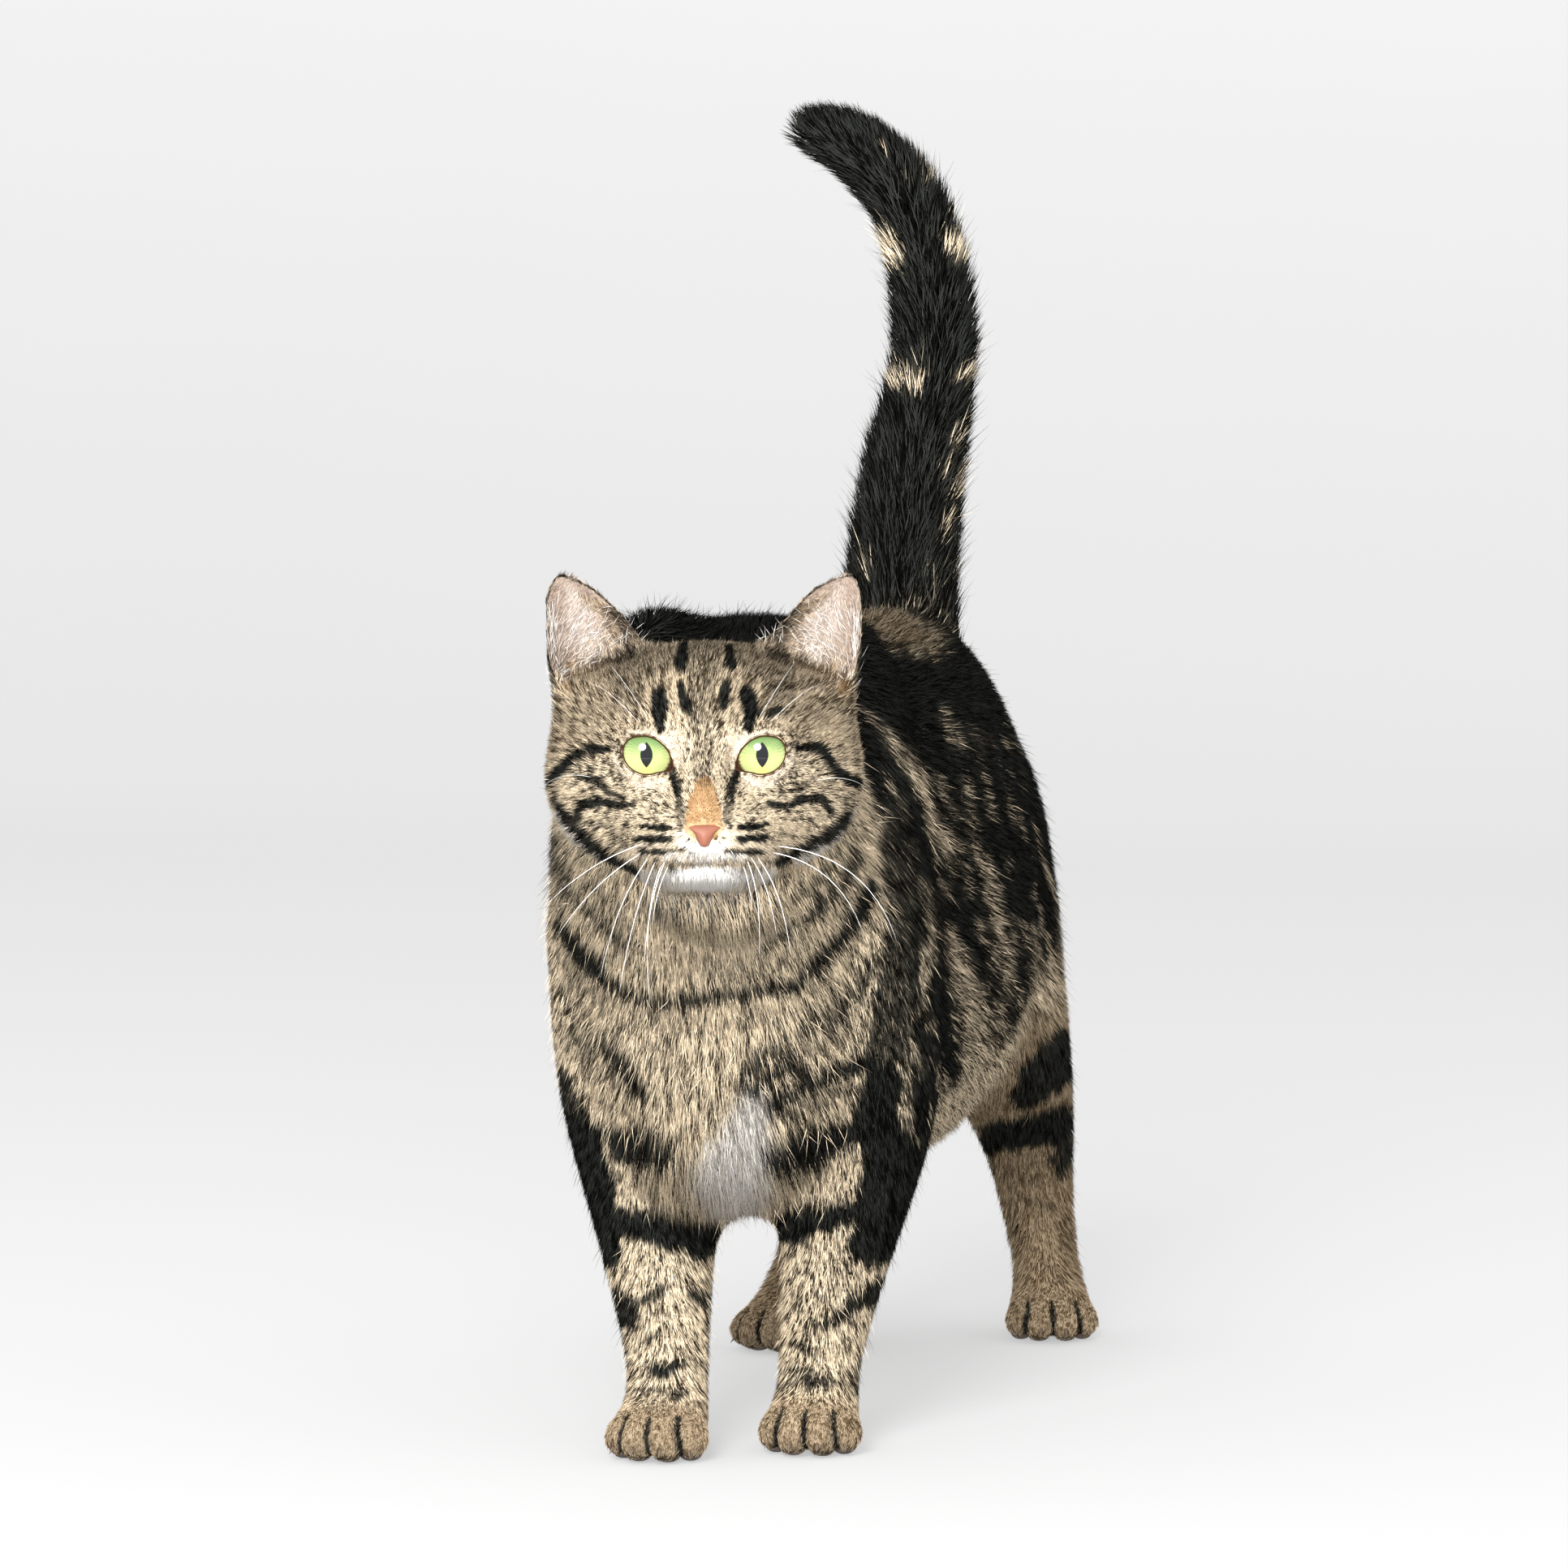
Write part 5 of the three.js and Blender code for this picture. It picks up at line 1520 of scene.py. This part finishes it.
# Whiskers, in the head's frame: where each leaves the lip and where it ends, as (across, up),
# how far forward its end lies, and how far it bows outwards on the way.
WHISKERS = (
    ((-18, -26), (-51, -47), -40, 2), ((-19, -29), (-46.6, -56), -44, 2),
    ((-17, -30), (-33, -70), -44, 3), ((-15, -31), (-27, -75), -46, 2),
    ((-13, -32), (-17, -78), -48, 5), ((-12, -31), (-19, -65), -52, 2),
    ((-11, -33), (-16.6, -53), -54, 1),
    ((12, -33), (15, -46), -56, 0), ((13, -31), (17, -63), -54, 3),
    ((14, -30), (22.6, -56), -54, 2), ((16, -30), (27, -62), -52, 3),
    ((20, -29), (50, -55), -42, 7), ((21, -27), (61, -59), -40, 11),
)
BROWS = (
    ((-17, 12), (-30, 30), -34, 3), ((-20, 11), (-36, 24), -30, 3),
    ((16.5, 12), (29, 31), -34, 3), ((20, 11), (38, 24), -30, 3),
    ((-34, -6), (-52, -9), -16, 2), ((34, -7), (53, -10), -16, 2),
)
WHISKER_RADIUS = 0.13
BROW_RADIUS = 0.05
WHISKER_SIDES = 5


def whisker_mesh():
    """All the whiskers and brow hairs as one mesh; their roots stand in the skin."""
    shape = bmesh.new()
    t = np.linspace(0, 1, 15)[:, None]
    for strands, thickness in ((WHISKERS, WHISKER_RADIUS), (BROWS, BROW_RADIUS)):
        for root, end, depth, bow in strands:
            start = skin_ahead(*root) + (0, 1.0, 0)
            finish = np.array([end[0], depth, end[1]])
            middle = (start + finish) / 2 + (np.sign(root[0]) * bow, -6 - bow * 0.5, bow + 3)
            line = (1 - t) ** 2 * start + 2 * t * (1 - t) * middle + t ** 2 * finish
            radii = thickness * MM * (1 - 0.85 * t[:, 0] ** 1.3)
            tube(shape, from_head(line), radii, WHISKER_SIDES)
    return finished("whiskers", shape)


# The middle of each toe of a paw, in the paw's frame, and the turn of its claw in degrees.
TOES = ((5.0, -23.6, 6, 6), (-5.0, -23.6, 6, -6), (14.0, -16.8, 5.5, 22), (-14.0, -16.8, 5.5, -22))
CLAW_ROOT = 3  # how far behind the middle of the toe a claw starts
CLAW_LENGTH = 4.4
CLAW_DROP = 2.6  # how far its tip curves down
CLAW_RADIUS = 0.75


def claw_mesh():
    """The tips of the claws, mostly drawn in, four to a paw."""
    shape = bmesh.new()
    t = np.linspace(0, 1, 6)[:, None]
    for leg in PAWS:
        for x, y, z, turn in TOES:
            way = np.array([math.sin(math.radians(turn)), -math.cos(math.radians(turn)), 0])
            start = np.array([x, y, z]) - way * CLAW_ROOT
            line = start + way * CLAW_LENGTH * t - np.array([0, 0, 1]) * CLAW_DROP * t ** 2
            radii = CLAW_RADIUS * MM * (1 - 0.9 * t[:, 0] ** 1.5)
            tube(shape, from_paw(line, leg), radii, 8)
    return finished("claws", shape)


# The pads of a paw: where each lies in the paw's frame, and its half width, length and height.
PADS = ((0, 3, 9, 7, 2.5), (5.2, -11.5, 3.8, 5, 2), (-5.2, -11.5, 3.8, 5, 2),
        (12, -6.5, 3.6, 4.6, 2), (-12, -6.5, 3.6, 4.6, 2))


def pad_mesh():
    """The bare pads under the paws, which stand on the floor."""
    shape = bmesh.new()
    for leg in PAWS:
        turn = Matrix.Rotation(math.radians(PAWS[leg][2]), 4, "Z")
        for x, y, wide, long, thick in PADS:
            middle = Vector(from_paw((x, y, thick / PAW_SCALE), leg))
            size = Matrix.Diagonal((wide * MM, long * MM, thick * MM, 1))
            bmesh.ops.create_uvsphere(shape, u_segments=20, v_segments=12, radius=1,
                                      matrix=Matrix.Translation(middle) @ turn @ size)
    return finished("pads", shape)


# ---- stage ---------------------------------------------------------------------------------

CAMERA_PLACE = (0.5561, -2.021, 0.348)
CAMERA_TURN = 15.6  # degrees from straight along Y, as it looks from the cat's left
CAMERA_DROP = 3.6  # degrees downwards
CAMERA_LENS = 139.75
SENSOR = 36  # width, in millimetres like the lens
STAGE_WIDTH = 9.0  # metres, like the rest of the stage
STAGE_DEPTH = 7.0
STAGE_FRONT = -4.5
SWEEP = 2.0  # radius of the bend between the floor and the wall
WALL = 3  # height of the wall above the bend
# The lamps: where each stands, how wide it is, and its power against the setting.
LAMPS = {"softbox": ((0.0, -2.1, 1.35), 1.0, 0.85), "fill": ((0.6, -2.4, 0.15), 1.4, 2.1)}
LAMP_AIM = (0, -0.1, 0.2)


def backdrop_mesh():
    """A floor that sweeps up into a wall behind the cat."""
    shape = bmesh.new()
    bmesh.ops.create_grid(shape, x_segments=1, y_segments=60, size=STAGE_WIDTH / 2)
    mesh = finished("backdrop", shape, outward=False)
    points = points_of(mesh)
    along = (points[:, 1] / STAGE_WIDTH + 0.5) * (STAGE_DEPTH + SWEEP * math.pi / 2 + WALL)
    angle = np.clip((along - STAGE_DEPTH) / SWEEP, 0, math.pi / 2)
    points[:, 1] = np.minimum(along, STAGE_DEPTH) + SWEEP * np.sin(angle) + STAGE_FRONT
    above = np.maximum(along - STAGE_DEPTH - SWEEP * math.pi / 2, 0)
    points[:, 2] = SWEEP * (1 - np.cos(angle)) + above
    write_points(mesh, points)
    return mesh


def backdrop_material():
    """A pale matt surface with a glow of its own, which keeps its shadows faint."""
    stage = bpy.context.scene.cat_stage
    shader = Shader("backdrop", Roughness=0.9, Specular_IOR_Level=0.0)
    grain = shader.noise(3, 2.0) * 0.02 + 0.99
    place = shader.node("ShaderNodeTexCoord", {}, {}).outputs["Object"]
    height = Value(shader, shader.node("ShaderNodeSeparateXYZ", {}, {0: place}).outputs["Z"])
    # painted shade: the floor is darker than the wall, to even out the stronger light that falls on the
    # floor
    shader.ends_in(shader.scaled((1, 1, 1), grain * (height.rising(0.0, 1.5) * 0.08 + 0.25)))
    shader.surface.inputs["Emission Color"].default_value = (*stage.backdrop, 1)
    shader.surface.inputs["Emission Strength"].default_value = stage.glow
    return shader.material


def add_camera():
    """The camera, low, ahead of the cat and to its left."""
    camera = bpy.data.cameras.new("camera")
    camera.lens = CAMERA_LENS
    camera.sensor_width = SENSOR
    camera.clip_start = 0.01
    camera.clip_end = 50
    rig = bpy.data.objects.new("camera", camera)
    rig.location = CAMERA_PLACE
    rig.rotation_euler = (math.radians(90 - CAMERA_DROP), 0, math.radians(CAMERA_TURN))
    bpy.context.scene.collection.objects.link(rig)
    bpy.context.scene.camera = rig


def add_lights():
    """A softbox above and to the left of the camera, a low one that fills in, and the room."""
    stage = bpy.context.scene.cat_stage
    for name, (place, size, share) in LAMPS.items():
        lamp = bpy.data.lights.new(name, "AREA")
        lamp.shape = "DISK"
        lamp.size = size
        lamp.energy = stage.lamp * share
        rig = bpy.data.objects.new(name, lamp)
        rig.location = place
        aim = Vector(LAMP_AIM) - Vector(place)
        rig.rotation_euler = aim.to_track_quat("-Z", "Y").to_euler()
        rig.visible_glossy = name == "softbox"
        bpy.context.scene.collection.objects.link(rig)
    world = bpy.data.worlds.new("room")
    world.use_nodes = True
    background = world.node_tree.nodes["Background"]
    background.inputs["Color"].default_value = (1, 1, 1, 1)
    background.inputs["Strength"].default_value = stage.room
    bpy.context.scene.world = world


# ---- settings ------------------------------------------------------------------------------


def colour(name, value, description):
    """A colour of the cat or its stage."""
    return bpy.props.FloatVectorProperty(
        name=name, description=description, default=value, size=3, min=0, max=1, subtype="COLOR")


def factor(name, value, description, top=2.0):
    """An amount against 1."""
    return bpy.props.FloatProperty(
        name=name, description=description, default=value, min=0, max=top, subtype="FACTOR")


def length(name, value, description):
    """A size whose default is given in millimetres."""
    return bpy.props.FloatProperty(
        name=name, description=description, default=value * MM, min=MM / 2, max=12 * MM, unit="LENGTH")


class CatPelt(bpy.types.PropertyGroup):
    """The colours of the coat and of the skin under it."""

    light: colour("Light hair", (0.97, 0.80, 0.57), "Pale hairs of the ground colour")
    dark: colour("Dark hair", (0.032, 0.025, 0.016), "Dark hairs of the ground colour")
    black: colour("Stripes", (0.004, 0.004, 0.0035), "Stripes, back and tail")
    sheen: colour("Sheen", (0.032, 0.034, 0.030), "Paler hairs of the stripes, back and tail")
    cream: colour("Cream", (0.86, 0.72, 0.56), "Rings round the eyes and above the lip")
    white: colour("White", (0.93, 0.90, 0.86), "Lip, chin, throat and hairs in the ears")
    tan: colour("Tan", (0.50, 0.31, 0.15), "Bridge of the nose and rims of the ears")
    tan_dark: colour("Dark tan", (0.42, 0.24, 0.11), "Dark hairs of the tan places")
    grey_light: colour("Light grey", (0.88, 0.82, 0.74), "Pale hairs of the breast")
    grey_dark: colour("Dark grey", (0.22, 0.19, 0.16), "Dark hairs of the breast")
    brown_light: colour("Light brown", (0.32, 0.235, 0.145), "Pale hairs of the paws and rump")
    brown_dark: colour("Dark brown", (0.13, 0.085, 0.045), "Dark hairs of the paws and rump")
    pink: colour("Inner ear", (0.36, 0.275, 0.225), "Bare skin inside the ears")


class CatCoat(bpy.types.PropertyGroup):
    """How long and how thick the coat grows."""

    length: factor("Length", 1.0, "Length of the hair against the cat's own")
    density: factor("Density", 1.0, "Number of tufts against the cat's own")


class CatFace(bpy.types.PropertyGroup):
    """Eyes and nose."""

    # the darker green at the top of the iris is partly its own colour and partly painted shade of the
    # upper lid
    iris_high: colour("Upper iris", (0.085, 0.145, 0.045), "Iris under the upper lid")
    iris_low: colour("Lower iris", (0.28, 0.31, 0.125), "Lower part of the iris")
    iris_middle: colour("Inner iris", (0.20, 0.33, 0.09), "Iris next to the pupil")
    iris_amber: colour("Amber", (0.66, 0.42, 0.08), "Spot below the pupil")
    # also the colour of the painted shadow of the upper lid on the iris
    lid: colour("Lids", (0.040, 0.018, 0.009), "Rims of the lids")
    nose: colour("Nose", (0.205, 0.075, 0.045), "Nose leather")
    pad: colour("Pads", (0.05, 0.035, 0.03), "Pads under the paws")
    claw: colour("Claws", (0.10, 0.07, 0.05), "Claws")
    whisker: colour("Whiskers", (0.92, 0.91, 0.88), "Whiskers and brow hairs")
    pupil_width: length("Pupil width", 3.7, "Width of the slit of the pupil")
    pupil_height: length("Pupil height", 7.9, "Height of the slit of the pupil")


class CatStage(bpy.types.PropertyGroup):
    """Backdrop and light."""

    backdrop: colour("Backdrop", (1.0, 1.0, 1.0), "Colour that the backdrop glows with")
    glow: factor("Glow", 0.45, "How much of its brightness the backdrop gives by itself")
    room: factor("Room light", 1.35, "Brightness of the room all round")
    lamp: bpy.props.FloatProperty(
        name="Softbox", description="Power of the softbox", default=80, min=0, max=500, unit="POWER")


# ---- operators -----------------------------------------------------------------------------


class CAT_OT_skin(bpy.types.Operator):
    """Builds one skin over the whole body, with lids, lips and toes, inside the coat"""

    bl_idname = "cat.skin"
    bl_label = "Skin"

    def execute(self, context):
        mesh = skin_mesh()
        body_points = len(mesh.vertices)
        joined = bmesh.new()
        joined.from_mesh(mesh)
        joined.from_mesh(lid_rims())
        joined.to_mesh(mesh)
        joined.free()
        lid = np.arange(len(mesh.vertices)) >= body_points
        write_attribute(mesh, "lid", lid)
        share = shares_of(mesh)
        normals = normals_of(mesh)
        points = points_of(mesh)
        raised = points + normals * coat_numbers(points, share)[:, DEPTH, None] * MM
        for paint, values in markings(raised, normals, share).items():
            write_attribute(mesh, paint, values)
        shaded_smooth(mesh)
        skin = link("skin", mesh, skin_material())
        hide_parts(*FLESH)
        return {"FINISHED"}


class CAT_OT_eyes(bpy.types.Operator):
    """Builds the two eyes, with green irises and slit pupils"""

    bl_idname = "cat.eyes"
    bl_label = "Eyes"

    def execute(self, context):
        material = eye_material()
        for name, side in SIDES.items():
            eye = link(f"eyeball_{name}", eyeball(side), material)
            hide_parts(f"eye_{name}")
        return {"FINISHED"}


class CAT_OT_nose(bpy.types.Operator):
    """Builds the nose leather with its nostrils"""

    bl_idname = "cat.nose"
    bl_label = "Nose"

    def execute(self, context):
        nose = link("nose_leather", nose_leather(), nose_material())
        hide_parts("nose")
        return {"FINISHED"}


class CAT_OT_whiskers(bpy.types.Operator):
    """Builds the whiskers and the long hairs of the brows"""

    bl_idname = "cat.whiskers"
    bl_label = "Whiskers"

    def execute(self, context):
        material = plain_material("whisker", tuple(context.scene.cat_face.whisker), Roughness=0.4)
        link("whiskers", whisker_mesh(), material)
        return {"FINISHED"}


class CAT_OT_feet(bpy.types.Operator):
    """Builds the claws and the pads of the four paws"""

    bl_idname = "cat.feet"
    bl_label = "Claws and pads"

    def execute(self, context):
        face = context.scene.cat_face
        link("claws", claw_mesh(), plain_material("claw", tuple(face.claw), Roughness=0.3))
        link("pads", pad_mesh(), plain_material("pad", tuple(face.pad), Roughness=0.6))
        return {"FINISHED"}


class CAT_OT_coat(bpy.types.Operator):
    """Grows the coat over the skin, piece by piece"""

    bl_idname = "cat.coat"
    bl_label = "Coat"

    def execute(self, context):
        grow_coat(bpy.data.objects["skin"])
        return {"FINISHED"}


class CAT_OT_stage(bpy.types.Operator):
    """Sets the backdrop, the lights and the camera"""

    bl_idname = "cat.stage"
    bl_label = "Stage"

    def execute(self, context):
        mesh = backdrop_mesh()
        mesh.materials.append(backdrop_material())
        backdrop = bpy.data.objects.new("backdrop", mesh)
        context.scene.collection.objects.link(backdrop)
        add_lights()
        add_camera()
        context.scene.view_settings.view_transform = "Standard"
        return {"FINISHED"}


OPERATORS = (CAT_OT_skin, CAT_OT_eyes, CAT_OT_nose, CAT_OT_whiskers, CAT_OT_feet, CAT_OT_coat,
             CAT_OT_stage)
GROUPS = {"cat_pelt": CatPelt, "cat_coat": CatCoat, "cat_face": CatFace, "cat_stage": CatStage}


class CAT_PT_panel(bpy.types.Panel):
    """Settings of the cat and a button for each of its pieces"""

    bl_label = "Cat"
    bl_idname = "CAT_PT_panel"
    bl_space_type = "VIEW_3D"
    bl_region_type = "UI"
    bl_category = "Cat"

    def draw(self, context):
        for name, group in GROUPS.items():
            box = self.layout.box()
            settings = getattr(context.scene, name)
            for setting in group.__annotations__:
                box.prop(settings, setting)
        for operator in OPERATORS:
            self.layout.operator(operator.bl_idname)


CLASSES = (*GROUPS.values(), *OPERATORS, CAT_PT_panel)


def register():
    """Makes the settings, the operators and the panel known to Blender."""
    for item in CLASSES:
        bpy.utils.register_class(item)
    for name, group in GROUPS.items():
        setattr(bpy.types.Scene, name, bpy.props.PointerProperty(type=group))


def unregister():
    """Takes back what register made."""
    for name in GROUPS:
        delattr(bpy.types.Scene, name)
    for item in reversed(CLASSES):
        bpy.utils.unregister_class(item)


def main():
    """Builds the cat and its stage."""
    register()
    bpy.ops.cat.skin()
    bpy.ops.cat.eyes()
    bpy.ops.cat.nose()
    bpy.ops.cat.whiskers()
    bpy.ops.cat.feet()
    bpy.ops.cat.coat()
    bpy.ops.cat.stage()


if __name__ == "__main__":
    main()
